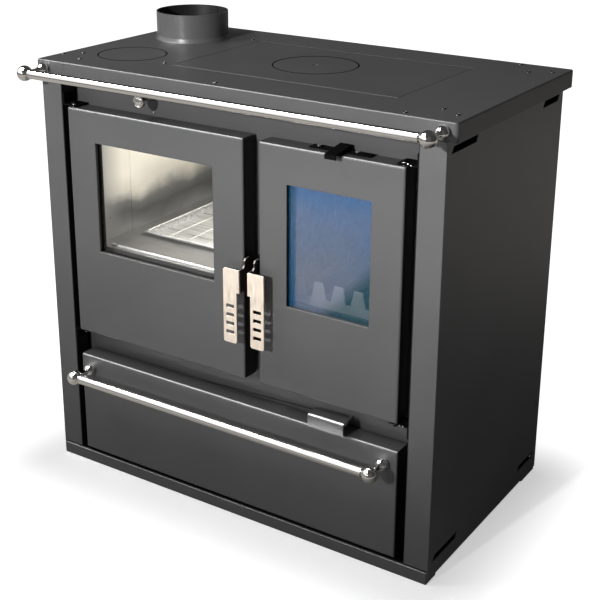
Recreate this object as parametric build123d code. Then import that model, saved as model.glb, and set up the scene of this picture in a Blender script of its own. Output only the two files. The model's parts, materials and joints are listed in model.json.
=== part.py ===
from build123d import *
import os
from math import ceil

# Wood cookstove, millimetres. X runs to the right, the doors face -Y, Z is up.
# The sizes are worked out about a line through the middle of the worktop, and every
# piece is then moved back by CENTRE_SHIFT, so that the origin is on the floor at the
# middle of the stove's whole footprint, rails included.

# ---------------------------------------------------------------- driving dimensions
# Worktop
TOP_WIDTH = 900.0
TOP_DEPTH = 490.0
TOP_HEIGHT = 850.0
TOP_PLATE = 6.0
SKIRT_HEIGHT = 33.0
SKIRT_WALL = 3.0
TOP_CORNER_ROUND = 6.0
TOP_EDGE_ROUND = 3.0

# Casing
SIDE_OVERHANG = 15.0
BACK_OVERHANG = 8.0
PILLAR_PROUD = 3.0
PILLAR_WIDTH = 50.0
PILLAR_RETURN = 35.0
PANEL_SHEET = 2.0
PANEL_FLANGE = 22.0
PANEL_FOLD_ROUND = 1.5
CARCASS_SHEET = 3.0
PLINTH_HEIGHT = 25.0
PLINTH_PROUD = 2.0
PLINTH_WALL = 3.0
PLINTH_FRONT_DEPTH = 40.0
PLINTH_BACK_DEPTH = 65.0
SIDE_LIFT = 8.0
SIDE_RAIL_WIDTH = 20.0
SHIELD_GAP = 10.0

# Slots in the side panels: distance of each row from the panel's ends
SIDE_SLOT_HEIGHT = 12.0
SIDE_SLOT_SLANT = 8.0
SIDE_SLOT_FRONT_INSET = 16.0
SIDE_SLOT_FRONT_LENGTH = 100.0
SIDE_SLOT_BACK_INSET = 17.0
SIDE_SLOT_BACK_LENGTH = 78.0
SIDE_SLOT_TOP_INSET = 11.0
SIDE_SLOT_BOTTOM_INSET = 30.0

# Back panel vents
BACK_VENT_COUNT = 9
BACK_VENT_WIDTH = 60.0
BACK_VENT_HEIGHT = 6.0
BACK_VENT_PITCH = 84.0
BACK_VENT_DROP = 60.0
BACK_VENT_RISE = 60.0

# Recessed front plate
FASCIA_SETBACK = 38.0
FASCIA_SIDE_GAP = 3.0
FASCIA_RETURN = 22.0

# Doors
TOP_FASCIA = 51.0
DOOR_HEIGHT = 464.0
DOOR_DEPTH = 38.0
DOOR_PROUD = 4.0
DOOR_SHEET = 2.5
DOOR_EDGE_ROUND = 5.0
OVEN_DOOR_WIDTH = 413.0
OVEN_DOOR_SIDE_GAP = 15.0
FIRE_DOOR_SIDE_GAP = 20.0
DOOR_GAP = 33.0
OVEN_WINDOW_MARGINS = (66.0, 68.0)
OVEN_WINDOW_RISE = 181.0
OVEN_WINDOW_HEAD = 62.0
FIRE_WINDOW_MARGINS = (59.0, 61.0)
FIRE_WINDOW_RISE = 168.0
FIRE_WINDOW_HEAD = 69.0
GLASS_THICKNESS = 4.0
GLASS_LAP = 14.0
GLASS_SEAL_DEPTH = 5.0
GLASS_CLIP_SIZE = 20.0
GLASS_CLIP_SHEET = 2.0
INNER_PANEL_SHEET = 2.0
INNER_PANEL_RECESS = 2.0
INNER_PANEL_CLEAR = 14.0
ROPE_WIDTH = 8.0
ROPE_INSET = 10.0
ROPE_CLEARANCE = 0.4

# Door hinges
HINGE_PIN_RADIUS = 4.0
HINGE_PIN_SIDE_INSET = 9.0
HINGE_PIN_FRONT_INSET = 11.0
HINGE_BOSS_RADIUS = 6.0
HINGE_BOSS_LENGTH = 14.0
HINGE_BRACKET_SHEET = 3.0
HINGE_BRACKET_LEG = 24.0
HINGE_END_GAP = 1.0
HINGE_PIN_END = 3.0
HINGE_PLATE_LAP = 10.0
RUNNING_CLEARANCE = 0.05
BODY_CLEARANCE = 0.3

# Latch levers
LEVER_SHEET = 3.0
LEVER_STANDOFF = 26.0
LEVER_GRIP_WIDTH = 29.0
LEVER_GRIP_TOP = 226.0
LEVER_GRIP_LENGTH = 144.0
LEVER_SHOULDER = 44.0
LEVER_EDGE_GAP = 4.25
LEVER_STEP = 3.0
LEVER_CORNER_ROUND = 4.0
LEVER_SHANK_RISE = 17.0
LEVER_SHANK_SETBACK = 19.0
LEVER_SLOT_COUNT = 4
LEVER_SLOT_LENGTH = 18.0
LEVER_SLOT_HEIGHT = 7.5
LEVER_SLOT_PITCH = 17.0
LEVER_SLOT_RISE = 21.0
LEVER_PIVOT_BEHIND = 12.0
LEVER_PIVOT_DROP = 16.0
LEVER_ARM_HEIGHT = 11.0
LEVER_ARM_RISE = 8.0
LEVER_ARM_END_GAP = 3.0
PIVOT_HEAD_RADIUS = 6.5
PIVOT_HEAD_THICKNESS = 2.0
KEEPER_POST_WIDTH = 11.0
KEEPER_POST_DEPTH = 13.0
KEEPER_POST_HEIGHT = 46.0
KEEPER_LUG_HEIGHT = 6.0
KEEPER_LUG_DEPTH = 9.0
KEEPER_LUG_GAP = 2.5
KEEPER_CLEARANCE = 0.5

# Secondary air slider on the firebox door
AIR_SLIDER_LENGTH = 120.0
AIR_SLIDER_DEPTH = 20.0
AIR_SLIDER_SHEET = 2.0
AIR_SLIDER_INSET = 75.0
AIR_TAB_WIDTH = 22.0
AIR_TAB_INSET = 133.0
AIR_TAB_RISE = 9.5
AIR_TAB_REACH = 17.0
AIR_TAB_LIP = 9.0
AIR_TAB_SHEET = 2.5
AIR_SLOT_LENGTH = 26.0
AIR_SLOT_WIDTH = 6.0
AIR_SLOT_OFFSET = 27.0
AIR_TRAVEL = 20.0
AIR_STUD_RADIUS = 2.0
AIR_STUD_HEAD = 4.0
AIR_STUD_OFFSET = 30.0

# Wood drawer
LOWER_FASCIA = 53.0
DRAWER_FLOOR_GAP = 5.0
DRAWER_SIDE_GAP = 16.0
DRAWER_BOX_SIDE_INSET = 19.0
DRAWER_BOX_RISE = 11.3
DRAWER_BOX_DROP = 24.0
DRAWER_BOX_BACK_GAP = 35.0
DRAWER_SHEET = 1.5
DRAWER_MOUTH_CLEAR = 10.0
DRAWER_RAIL_DROP = 28.0
DRAWER_RAIL_SIDE_INSET = 27.0
DRAWER_RAIL_STANDOFF = 51.0
RUNNER_SHEET = 2.5
RUNNER_LEDGE = 22.0
RUNNER_GUIDE_RISE = 16.0

# Chrome rails
RAIL_RADIUS = 9.0
RAIL_BALL_RADIUS = 15.0
RAIL_POST_RADIUS = 5.0
ROSETTE_RADIUS = 12.0
ROSETTE_SINK = 5.0
RAIL_SOCKET = 8.0
TOP_RAIL_SIDE_INSET = 23.0
TOP_RAIL_DROP = 17.0
TOP_RAIL_STANDOFF = 55.0

# Cooking plate, lids and flue
INSERT_WIDTH = 484.0
INSERT_DEPTH = 292.0
INSERT_SIDE_INSET = 161.0
INSERT_FRONT_INSET = 100.0
INSERT_GAP = 1.0
LEDGE_LAP = 12.0
LEDGE_BORDER = 15.0
LEDGE_SHEET = 4.0
LID_RADIUS = 80.5
LID_OFFSET = (-17.5, 5.5)
LID_STEP = 6.0
LID_GAP = 0.5
LID_HOLE_RADIUS = 5.0
COVER_RADIUS = 66.0
COVER_INSET = (125.0, 138.0)
FLUE_INSET = (111.0, 140.0)
FLUE_RADIUS = 75.0
FLUE_WALL = 2.5
FLUE_HEIGHT = 57.0
FLUE_FLARE = 2.5
FLUE_FLARE_HEIGHT = 8.0
FLUE_FLANGE = 5.0
FLUE_HOLE_GAP = 0.5
SCREW_HEAD_RADIUS = 4.5
SCREW_HEAD_HEIGHT = 1.2
SCREW_SHANK_RADIUS = 2.5
SCREW_HOLE_GAP = 0.2
SCREW_CORNER_PLACES = ((101.0, 15.0), (61.0, 72.0), (24.0, 48.0))
SCREW_FRONT_LEFT_PLACES = ((73.0, 43.0), (40.0, 89.0), (11.0, 64.0))
SCREW_PLATE_GAP = (22.5, 3.5)
SCREW_FRONT_PLACE = (160.0, 20.0)
FRAME_SETBACK = 20.0
FRAME_DEPTH = 35.0
FRAME_BORDER = 10.0
FRAME_WALL = 3.0

# Oven
OVEN_SHEET = 1.5
OVEN_SIDE_INSETS = (22.0, 22.0)
OVEN_FLOOR_DROP = 5.0
OVEN_CAVITY_HEIGHT = 250.0
OVEN_BACK_GAP = 45.0
OVEN_FLANGE = 12.0
OVEN_BEARER_WIDTH = 25.0
OVEN_BEARER_HEIGHT = 6.0
OVEN_BEARER_INSET = 57.0
TRAY_SIDE_INSET = 46.0
TRAY_FRONT_INSET = 89.0
TRAY_LENGTH = 278.0
TRAY_HEIGHT = 10.0
TRAY_SHEET = 1.2
TRAY_RIM = 14.0

# Smoke box above the oven
SMOKE_WALL_SETBACK = 24.0
SMOKE_SHELF_DROP = 59.0
DAMPER_ROD_INSET = 177.6
DAMPER_ROD_DROP = 50.4
DAMPER_ROD_RADIUS = 4.0
DAMPER_KNOB_RADIUS = 12.3
DAMPER_KNOB_LENGTH = 13.0
DAMPER_KNOB_STANDOFF = 29.0
DAMPER_COLLAR_RADIUS = 8.5
DAMPER_COLLAR_LENGTH = 4.0
DAMPER_HOLE_GAP = 2.0
DAMPER_PORT = 110.0
DAMPER_PORT_FRONT = 173.0
DAMPER_PLATE_LAP = 12.0
DAMPER_PLATE_LEAD = 40.0
DAMPER_PLATE_SHEET = 3.0
DAMPER_LUG = 6.0
DIVIDER_PORT_MARGIN = 60.0
DIVIDER_PORT_HEIGHT = 40.0
DIVIDER_PORT_DROP = 5.0

# Firebox
FIRE_MOUTH_INSET = 20.0
FIRE_MOUTH_SILL = 20.0
FIRE_MOUTH_HEAD = 24.0
BRICK_THICKNESS = 25.0
BRICK_JOINT = 1.0
FIREBOX_BACK_GAP = 57.0
FIREBOX_HEAD_GAP = 84.0
GRATE_THICKNESS = 16.0
GRATE_RISE = 130.0
GRATE_BORDER = 38.0
GRATE_SLOT = 10.0
GRATE_BAR = 9.0
GRATE_LEDGE = 14.0
GRATE_LEDGE_SHEET = 6.0
GRATE_SIDE_CLEAR = 0.5
GRATE_FRONT_SETBACK = 17.0
ASH_PAN_SIDE_CLEAR = 4.0
ASH_PAN_FRONT_SETBACK = 12.0
ASH_PAN_BACK_CLEAR = 37.0
ASH_PAN_HEIGHT = 63.0
ASH_PAN_SHEET = 1.5
ASH_PAN_GRIP_WIDTH = 90.0
ASH_PAN_GRIP_REACH = 8.0
ASH_AIR_SLOT_WIDTH = 18.0
ASH_AIR_SLOT_LENGTH = 60.0
FENCE_SETBACK = 21.0
FENCE_SHEET = 3.0
FENCE_HEIGHT = 48.0
FENCE_TOOTH_HEIGHT = 31.5
FENCE_TOOTH_TOP = 17.0
FENCE_PITCH = 41.5
FENCE_VALLEY = 10.5
FENCE_FIRST_VALLEY = 43.0
FENCE_FOOT = 18.0
FENCE_SIDE_CLEAR = 1.5

# Primary air control below the firebox door
PLATE_WIDTH = 75.0
PLATE_HEIGHT = 25.0
PLATE_OFFSET = 5.0
PLATE_SHEET = 2.5
PLATE_FLANGE = 31.0
PLATE_STANDOFF = 52.0
PLATE_LIFT = 3.0
PLATE_ROUND = 6.0
PRIMARY_ROD_RADIUS = 3.5
PRIMARY_ROD_OFFSET = 24.0
PRIMARY_ROD_RISE = 13.0
PRIMARY_ROD_INSIDE = 70.0
PRIMARY_SPRING_RADIUS = 7.0
PRIMARY_SPRING_WIRE = 1.2
PRIMARY_SPRING_PITCH = 4.5
SHUTTER_WIDTH = 80.0
SHUTTER_LENGTH = 90.0
SHUTTER_SHEET = 2.0
SHUTTER_LAP = 10.0
SHUTTER_LUG = 5.0

# ---------------------------------------------------------------- planes and places
half_width = TOP_WIDTH / 2
deck_front = -TOP_DEPTH / 2
deck_back = TOP_DEPTH / 2
deck_under = TOP_HEIGHT - TOP_PLATE
skirt_bottom = TOP_HEIGHT - SKIRT_HEIGHT
body_side = half_width - SIDE_OVERHANG
body_inner = body_side - PANEL_SHEET
body_back = deck_back - BACK_OVERHANG
back_inner = body_back - PANEL_SHEET
pillar_front = deck_front - PILLAR_PROUD
pillar_edge = body_side - PILLAR_WIDTH
pillar_bottom = PLINTH_HEIGHT + CARCASS_SHEET
panel_flange_under = skirt_bottom - PANEL_SHEET
plinth_front = pillar_front - PLINTH_PROUD
shield_inner = body_inner - SHIELD_GAP - CARCASS_SHEET

fascia_front = pillar_front + FASCIA_SETBACK
fascia_back = fascia_front + CARCASS_SHEET
fascia_edge = pillar_edge - FASCIA_SIDE_GAP
fascia_top = deck_under - FRAME_WALL
wing_back = fascia_front + FASCIA_RETURN

door_front = pillar_front - DOOR_PROUD
door_back = door_front + DOOR_DEPTH
door_top = skirt_bottom - TOP_FASCIA
door_bottom = door_top - DOOR_HEIGHT
oven_door_x = (-pillar_edge + OVEN_DOOR_SIDE_GAP, -pillar_edge + OVEN_DOOR_SIDE_GAP + OVEN_DOOR_WIDTH)
fire_door_x = (oven_door_x[1] + DOOR_GAP, pillar_edge - FIRE_DOOR_SIDE_GAP)
post_centre = (oven_door_x[1] + fire_door_x[0]) / 2
pin_y = door_front + HINGE_PIN_FRONT_INSET

drawer_top = door_bottom - LOWER_FASCIA
drawer_bottom = pillar_bottom + DRAWER_FLOOR_GAP
drawer_side = pillar_edge - DRAWER_SIDE_GAP
drawer_box_side = drawer_side - DRAWER_BOX_SIDE_INSET
drawer_box_bottom = drawer_bottom + DRAWER_BOX_RISE
drawer_box_top = drawer_top - DRAWER_BOX_DROP
drawer_rail_z = drawer_top - DRAWER_RAIL_DROP
drawer_rail_y = door_front - DRAWER_RAIL_STANDOFF
bay_roof = drawer_top + CARCASS_SHEET

divider_x = (post_centre - CARCASS_SHEET / 2 - 2.0, post_centre + CARCASS_SHEET / 2 - 2.0)
ledge_bottom = deck_under - LEDGE_SHEET
damper_x = oven_door_x[0] + DAMPER_ROD_INSET
insert_x = (half_width - INSERT_SIDE_INSET - INSERT_WIDTH, half_width - INSERT_SIDE_INSET)
insert_y = (deck_front + INSERT_FRONT_INSET, deck_front + INSERT_FRONT_INSET + INSERT_DEPTH)
lid_centre = (sum(insert_x) / 2 + LID_OFFSET[0], sum(insert_y) / 2 + LID_OFFSET[1])
cover_centre = (COVER_INSET[0] - half_width, deck_front + COVER_INSET[1])
flue_centre = (FLUE_INSET[0] - half_width, deck_back - FLUE_INSET[1])
top_rail_y = deck_front - TOP_RAIL_STANDOFF
top_rail_z = TOP_HEIGHT - TOP_RAIL_DROP

front_reach = min(top_rail_y, drawer_rail_y) - RAIL_BALL_RADIUS
CENTRE_SHIFT = -(front_reach + deck_back) / 2


# ---------------------------------------------------------------- helpers
def block(x, y, z):
    """A box between the two ends given on each axis."""
    middle = Pos(sum(x) / 2, sum(y) / 2, sum(z) / 2)
    return middle * Box(x[1] - x[0], y[1] - y[0], z[1] - z[0])


def rod_x(y, z, span, radius):
    """A round bar along X."""
    return Pos(sum(span) / 2, y, z) * Rot(0, 90, 0) * Cylinder(radius, span[1] - span[0])


def rod_y(x, z, span, radius):
    """A round bar along Y."""
    return Pos(x, sum(span) / 2, z) * Rot(90, 0, 0) * Cylinder(radius, span[1] - span[0])


def rod_z(x, y, span, radius):
    """A round bar along Z."""
    return Pos(x, y, sum(span) / 2) * Cylinder(radius, span[1] - span[0])


def prism_x(points, span, rounding=0.0):
    """A sheet in the Y-Z plane, cut to an outline and as thick as the span along X."""
    plane = Plane.YZ.offset(sum(span) / 2)
    face = make_face(plane * Polyline(*points, close=True))
    if rounding:
        face = fillet(face.vertices(), rounding)
    return extrude(face, amount=(span[1] - span[0]) / 2, both=True)


def prism_y(points, span, rounding=0.0):
    """A sheet in the X-Z plane, cut to an outline and as thick as the span along Y."""
    plane = Plane(origin=(0, sum(span) / 2, 0), x_dir=(1, 0, 0), z_dir=(0, -1, 0))
    face = make_face(plane * Polyline(*points, close=True))
    if rounding:
        face = fillet(face.vertices(), rounding)
    return extrude(face, amount=(span[1] - span[0]) / 2, both=True)


def grown(span, amount):
    """The span made longer by the amount at both ends."""
    return (span[0] - amount, span[1] + amount)


def frame_y(x, y, z, width):
    """A rectangular ring in the X-Z plane with the given outer size."""
    return block(x, y, z) - block(grown(x, -width), grown(y, 1), grown(z, -width))


def mirrored(shape):
    """The same piece on the other side of the stove."""
    return mirror(shape, about=Plane.YZ)


def group(*solids):
    """Separate solids kept together as one named piece."""
    return Compound(children=list(solids))


# ---------------------------------------------------------------- casing
def make_plinth():
    """Two channel beams across the stove, joined by raised side bars."""
    length = (-body_inner, body_inner)
    height = (0, PLINTH_HEIGHT)
    hollow_x = grown(length, -PLINTH_WALL)
    hollow_z = grown(height, -PLINTH_WALL)
    front = (plinth_front, plinth_front + PLINTH_FRONT_DEPTH)
    back = (body_back + PLINTH_PROUD - PLINTH_BACK_DEPTH, body_back + PLINTH_PROUD)
    plinth = block(length, front, height) + block(length, back, height)
    plinth -= block(hollow_x, (front[0] + PLINTH_WALL, front[1] + 1), hollow_z)
    plinth -= block(hollow_x, (back[0] - 1, back[1] - PLINTH_WALL), hollow_z)
    side = block((body_inner - SIDE_RAIL_WIDTH, body_inner), (front[1], back[0]), (SIDE_LIFT, PLINTH_HEIGHT))
    return plinth + side + mirrored(side)


def make_base_plate():
    """Floor sheet of the carcass, also the floor of the drawer bay."""
    return block((-body_inner, body_inner), (deck_front, back_inner), (PLINTH_HEIGHT, pillar_bottom))


def side_slot(start, end, low):
    """Cutter for one slot with slanted ends in the right side panel."""
    high = low + SIDE_SLOT_HEIGHT
    points = [(start, low), (end - SIDE_SLOT_SLANT, low), (end, high), (start + SIDE_SLOT_SLANT, high)]
    return prism_x(points, (body_inner - 1, body_side + 1))


def make_right_side_panel():
    """Outer side sheet with its folded front pillar, top flange and four slots."""
    height = (pillar_bottom, skirt_bottom)
    depth = (pillar_front, body_back)
    panel = block((body_inner, body_side), depth, (SIDE_LIFT, skirt_bottom))
    return_x = (pillar_edge, pillar_edge + PANEL_SHEET)
    panel += block((pillar_edge, body_side), (pillar_front, pillar_front + PANEL_SHEET), height)
    panel += block(return_x, (pillar_front, pillar_front + PILLAR_RETURN), height)
    flange_x = (body_side - PANEL_FLANGE, body_side)
    panel += block(flange_x, (pillar_front, back_inner), (panel_flange_under, skirt_bottom))
    upright = panel.edges().filter_by(Axis.Z).filter_by(lambda edge: edge.length > skirt_bottom / 2)
    folds = upright.filter_by(lambda edge: edge.center().Y < pillar_front + PANEL_SHEET / 2)
    panel = fillet(folds, PANEL_FOLD_ROUND)
    front_start = pillar_front + SIDE_SLOT_FRONT_INSET
    back_end = body_back - SIDE_SLOT_BACK_INSET
    rows = (pillar_bottom - SIDE_SLOT_SLANT + SIDE_SLOT_BOTTOM_INSET - SIDE_SLOT_HEIGHT,
            skirt_bottom - SIDE_SLOT_TOP_INSET - SIDE_SLOT_HEIGHT)
    for low in rows:
        panel -= side_slot(front_start, front_start + SIDE_SLOT_FRONT_LENGTH, low)
        panel -= side_slot(back_end - SIDE_SLOT_BACK_LENGTH, back_end, low)
    return panel


def make_back_panel():
    """Rear sheet with a row of vents near its top and its bottom."""
    height = (pillar_bottom, panel_flange_under)
    panel = block((-body_inner, body_inner), (back_inner, body_back), height)
    depth = (back_inner - 1, body_back + 1)
    first = -BACK_VENT_PITCH * (BACK_VENT_COUNT - 1) / 2
    for index in range(BACK_VENT_COUNT):
        centre = first + index * BACK_VENT_PITCH
        width = (centre - BACK_VENT_WIDTH / 2, centre + BACK_VENT_WIDTH / 2)
        for low in (height[0] + BACK_VENT_RISE, height[1] - BACK_VENT_DROP):
            panel -= block(width, depth, (low, low + BACK_VENT_HEIGHT))
    return panel


def oven_cavity():
    """The oven's inside: its ends on X, Y and Z."""
    floor = door_bottom + OVEN_WINDOW_RISE - OVEN_FLOOR_DROP
    width = (oven_door_x[0] + OVEN_SIDE_INSETS[0], oven_door_x[1] - OVEN_SIDE_INSETS[1])
    return width, (fascia_back, back_inner - OVEN_BACK_GAP), (floor, floor + OVEN_CAVITY_HEIGHT)


def fire_mouth():
    """The firebox opening in the front plate: its ends on X and Z."""
    width = grown(fire_door_x, -FIRE_MOUTH_INSET)
    return width, (door_bottom + FIRE_MOUTH_SILL, door_top - FIRE_MOUTH_HEAD)


def damper_rod_height():
    """Height of the smoke damper's rod."""
    return TOP_HEIGHT - DAMPER_ROD_DROP


def primary_rod_place():
    """Where the primary air rod passes the front plate, as X and Z."""
    centre = sum(fire_door_x) / 2 + PLATE_OFFSET
    return centre + PRIMARY_ROD_OFFSET, drawer_top + PLATE_LIFT + PRIMARY_ROD_RISE


def make_front_plate():
    """Recessed front plate with folded sides and the mouths of oven, firebox and drawer."""
    height = (pillar_bottom, panel_flange_under)
    plate = block((-fascia_edge, fascia_edge), (fascia_front, fascia_back), (pillar_bottom, fascia_top))
    fold = block((fascia_edge - CARCASS_SHEET, fascia_edge), (fascia_front, wing_back), height)
    wing = block((fascia_edge - CARCASS_SHEET, shield_inner), (wing_back - CARCASS_SHEET, wing_back), height)
    plate += fold + wing + mirrored(fold) + mirrored(wing)
    through = (fascia_front - 1, fascia_back + 1)
    oven = oven_cavity()
    fire = fire_mouth()
    plate -= block(oven[0], through, oven[2])
    plate -= block(fire[0], through, fire[1])
    mouth_x = grown((-drawer_box_side, drawer_box_side), DRAWER_MOUTH_CLEAR)
    plate -= block(mouth_x, through, grown((drawer_box_bottom, drawer_box_top), DRAWER_MOUTH_CLEAR))
    plate -= rod_y(damper_x, damper_rod_height(), through, DAMPER_ROD_RADIUS + DAMPER_HOLE_GAP)
    rod = primary_rod_place()
    return plate - rod_y(rod[0], rod[1], through, PRIMARY_ROD_RADIUS + RUNNING_CLEARANCE)


def make_heat_shields():
    """A bare sheet inside each side panel, with an air gap between them."""
    width = (shield_inner, shield_inner + CARCASS_SHEET)
    right = block(width, (wing_back - CARCASS_SHEET, back_inner), (pillar_bottom, panel_flange_under))
    return group(mirrored(right), right)


def shutter_span():
    """The primary air shutter at rest: its ends on X and Y."""
    rod_place = primary_rod_place()[0]
    width = (rod_place - SHUTTER_WIDTH / 2, rod_place + SHUTTER_WIDTH / 2)
    start = fascia_back + PRIMARY_ROD_INSIDE
    return width, (start, start + SHUTTER_LENGTH)


def make_drawer_bay_roof():
    """Sheet that divides the drawer bay from the oven and firebox, with the primary air port."""
    height = (drawer_top, bay_roof)
    between_folds = grown((-fascia_edge, fascia_edge), -CARCASS_SHEET)
    roof = block(between_folds, (fascia_back, back_inner), height)
    roof += block((-shield_inner, shield_inner), (wing_back, back_inner), height)
    width, length = shutter_span()
    return roof - block(grown(width, -SHUTTER_LAP), grown(length, -SHUTTER_LAP), grown(height, 1))


def make_drawer_runners():
    """Two guide rails on the floor that the drawer box slides on."""
    web = (drawer_box_side + RUNNER_SHEET, drawer_box_side + 2 * RUNNER_SHEET)
    depth = (fascia_back + RUNNER_SHEET, back_inner - RUNNER_SHEET)
    ledge_top = drawer_box_bottom - BODY_CLEARANCE
    right = block(web, depth, (pillar_bottom, ledge_top + RUNNER_GUIDE_RISE))
    right += block((drawer_box_side - RUNNER_LEDGE, web[1]), depth, (ledge_top - RUNNER_SHEET, ledge_top))
    return group(mirrored(right), right)


def make_top_frame():
    """Flanged frame that carries the worktop on the side panels."""
    outer_x = (-body_inner + FRAME_WALL, body_inner - FRAME_WALL)
    outer_y = (pillar_front + PANEL_SHEET + FRAME_WALL * 2, back_inner)
    height = (skirt_bottom, deck_under)
    frame = block(outer_x, outer_y, height)
    hollow = (height[0] - 1, height[1] - FRAME_WALL)
    frame -= block(grown(outer_x, -FRAME_WALL), grown(outer_y, -FRAME_WALL), hollow)
    opening_y = (outer_y[0] + FRAME_DEPTH, outer_y[1] - FRAME_BORDER)
    return frame - block(grown(outer_x, -FRAME_BORDER), opening_y, grown(height, 1))


# ---------------------------------------------------------------- worktop
def screw_places():
    """Centres of the worktop's screws: three in each corner and three on the plate."""
    beside, beyond = SCREW_PLATE_GAP
    along, inset = SCREW_FRONT_PLACE
    places = [(insert_x[0] - beside, insert_y[0] + beyond), (insert_x[0] - beside, insert_y[1] + beyond)]
    places.append((insert_x[0] + along, deck_front + inset))
    corners = {(-1, -1): SCREW_FRONT_LEFT_PLACES}
    for side in (-1, 1):
        for end in (-1, 1):
            for from_side, from_end in corners.get((side, end), SCREW_CORNER_PLACES):
                places.append((side * (half_width - from_side), end * (deck_back - from_end)))
    return places


def make_worktop():
    """Folded worktop with its openings for cooking plate, cover, flue and screws."""
    top = block((-half_width, half_width), (deck_front, deck_back), (skirt_bottom, TOP_HEIGHT))
    top = fillet(top.edges().filter_by(Axis.Z), TOP_CORNER_ROUND)
    top = fillet(top.faces().sort_by(Axis.Z)[-1].edges(), TOP_EDGE_ROUND)
    inner_x = grown((-half_width, half_width), -SKIRT_WALL)
    inner_y = grown((deck_front, deck_back), -SKIRT_WALL)
    top -= block(inner_x, inner_y, (skirt_bottom - 1, deck_under))
    through = (deck_under - 1, TOP_HEIGHT + 1)
    top -= block(grown(insert_x, INSERT_GAP), grown(insert_y, INSERT_GAP), through)
    top -= rod_z(*cover_centre, through, COVER_RADIUS + LID_GAP)
    top -= rod_z(*flue_centre, through, FLUE_RADIUS + FLUE_HOLE_GAP)
    for x, y in screw_places():
        top -= rod_z(x, y, through, SCREW_SHANK_RADIUS + SCREW_HOLE_GAP)
    return top


def make_worktop_screws():
    """Low domed screws in the worktop."""
    screws = []
    for x, y in screw_places():
        shank = rod_z(x, y, (deck_under, TOP_HEIGHT), SCREW_SHANK_RADIUS)
        head = rod_z(x, y, (TOP_HEIGHT, TOP_HEIGHT + SCREW_HEAD_HEIGHT), SCREW_HEAD_RADIUS)
        head = chamfer(head.edges().sort_by(Axis.Z)[-1], SCREW_HEAD_HEIGHT / 2)
        screws.append(shank + head)
    return group(*screws)


def make_ledges():
    """Rings under the worktop that the cooking plate and the cleaning cover lie on."""
    height = (ledge_bottom, deck_under)
    opening = (grown(insert_x, INSERT_GAP), grown(insert_y, INSERT_GAP))
    plate_ring = block(grown(opening[0], LEDGE_BORDER), grown(opening[1], LEDGE_BORDER), height)
    plate_ring -= block(grown(opening[0], -LEDGE_LAP), grown(opening[1], -LEDGE_LAP), grown(height, 1))
    cover_ring = rod_z(*cover_centre, height, COVER_RADIUS + LEDGE_LAP)
    cover_ring -= rod_z(*cover_centre, grown(height, 1), COVER_RADIUS - LEDGE_LAP)
    return group(plate_ring, cover_ring)


def make_flue_spigot():
    """Flue collar with a flared foot on the worktop and a flange under it."""
    foot = FLUE_RADIUS + FLUE_FLARE
    spigot = rod_z(*flue_centre, (ledge_bottom, TOP_HEIGHT + FLUE_HEIGHT), FLUE_RADIUS)
    spigot += rod_z(*flue_centre, (ledge_bottom, deck_under), FLUE_RADIUS + FLUE_FLANGE)
    flare = Cone(foot, FLUE_RADIUS, FLUE_FLARE_HEIGHT)
    spigot += Pos(*flue_centre, TOP_HEIGHT + FLUE_FLARE_HEIGHT / 2) * flare
    bore = (ledge_bottom - 1, TOP_HEIGHT + FLUE_HEIGHT + 1)
    return spigot - rod_z(*flue_centre, bore, FLUE_RADIUS - FLUE_WALL)


def make_insert():
    """Cooking plate with a stepped round hole for its lid."""
    plate = block(insert_x, insert_y, (deck_under, TOP_HEIGHT))
    plate = fillet(plate.faces().sort_by(Axis.Z)[-1].edges(), LID_GAP)
    middle = deck_under + TOP_PLATE / 2
    plate -= rod_z(*lid_centre, (middle, TOP_HEIGHT + 1), LID_RADIUS + LID_GAP)
    return plate - rod_z(*lid_centre, (deck_under - 1, TOP_HEIGHT), LID_RADIUS + LID_GAP - LID_STEP)


def make_lid():
    """Round lid with a stepped edge and a hole for the lifting hook."""
    middle = deck_under + TOP_PLATE / 2
    lid = rod_z(*lid_centre, (middle, TOP_HEIGHT), LID_RADIUS)
    lid = fillet(lid.edges().sort_by(Axis.Z)[-1], LID_GAP)
    lid += rod_z(*lid_centre, (deck_under, middle), LID_RADIUS - LID_STEP)
    return lid - rod_z(*lid_centre, (deck_under - 1, TOP_HEIGHT + 1), LID_HOLE_RADIUS)


def make_cleaning_cover():
    """Round cover of the cleaning hole beside the flue."""
    cover = rod_z(*cover_centre, (deck_under, TOP_HEIGHT), COVER_RADIUS)
    return fillet(cover.edges().sort_by(Axis.Z)[-1], LID_GAP)


# ---------------------------------------------------------------- chrome rails
def make_rail(reach, y, z, wall):
    """A rail's bar, its two end balls, and the two posts with rosettes on the wall."""
    bar_end = reach - RAIL_BALL_RADIUS + RAIL_SOCKET
    bar = rod_x(y, z, (-bar_end, bar_end), RAIL_RADIUS)
    balls = []
    posts = []
    for x in (-reach, reach):
        post = rod_y(x, z, (y + RAIL_SOCKET, wall - ROSETTE_SINK), RAIL_POST_RADIUS)
        dome = Pos(x, wall - ROSETTE_SINK, z) * Sphere(ROSETTE_RADIUS)
        behind = (wall, wall + 3 * ROSETTE_RADIUS)
        dome -= block(grown((x, x), 2 * ROSETTE_RADIUS), behind, grown((z, z), 2 * ROSETTE_RADIUS))
        posts.append(post + dome)
        balls.append(Pos(x, y, z) * Sphere(RAIL_BALL_RADIUS) - bar - post)
    return bar, group(*balls), group(*posts)


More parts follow.
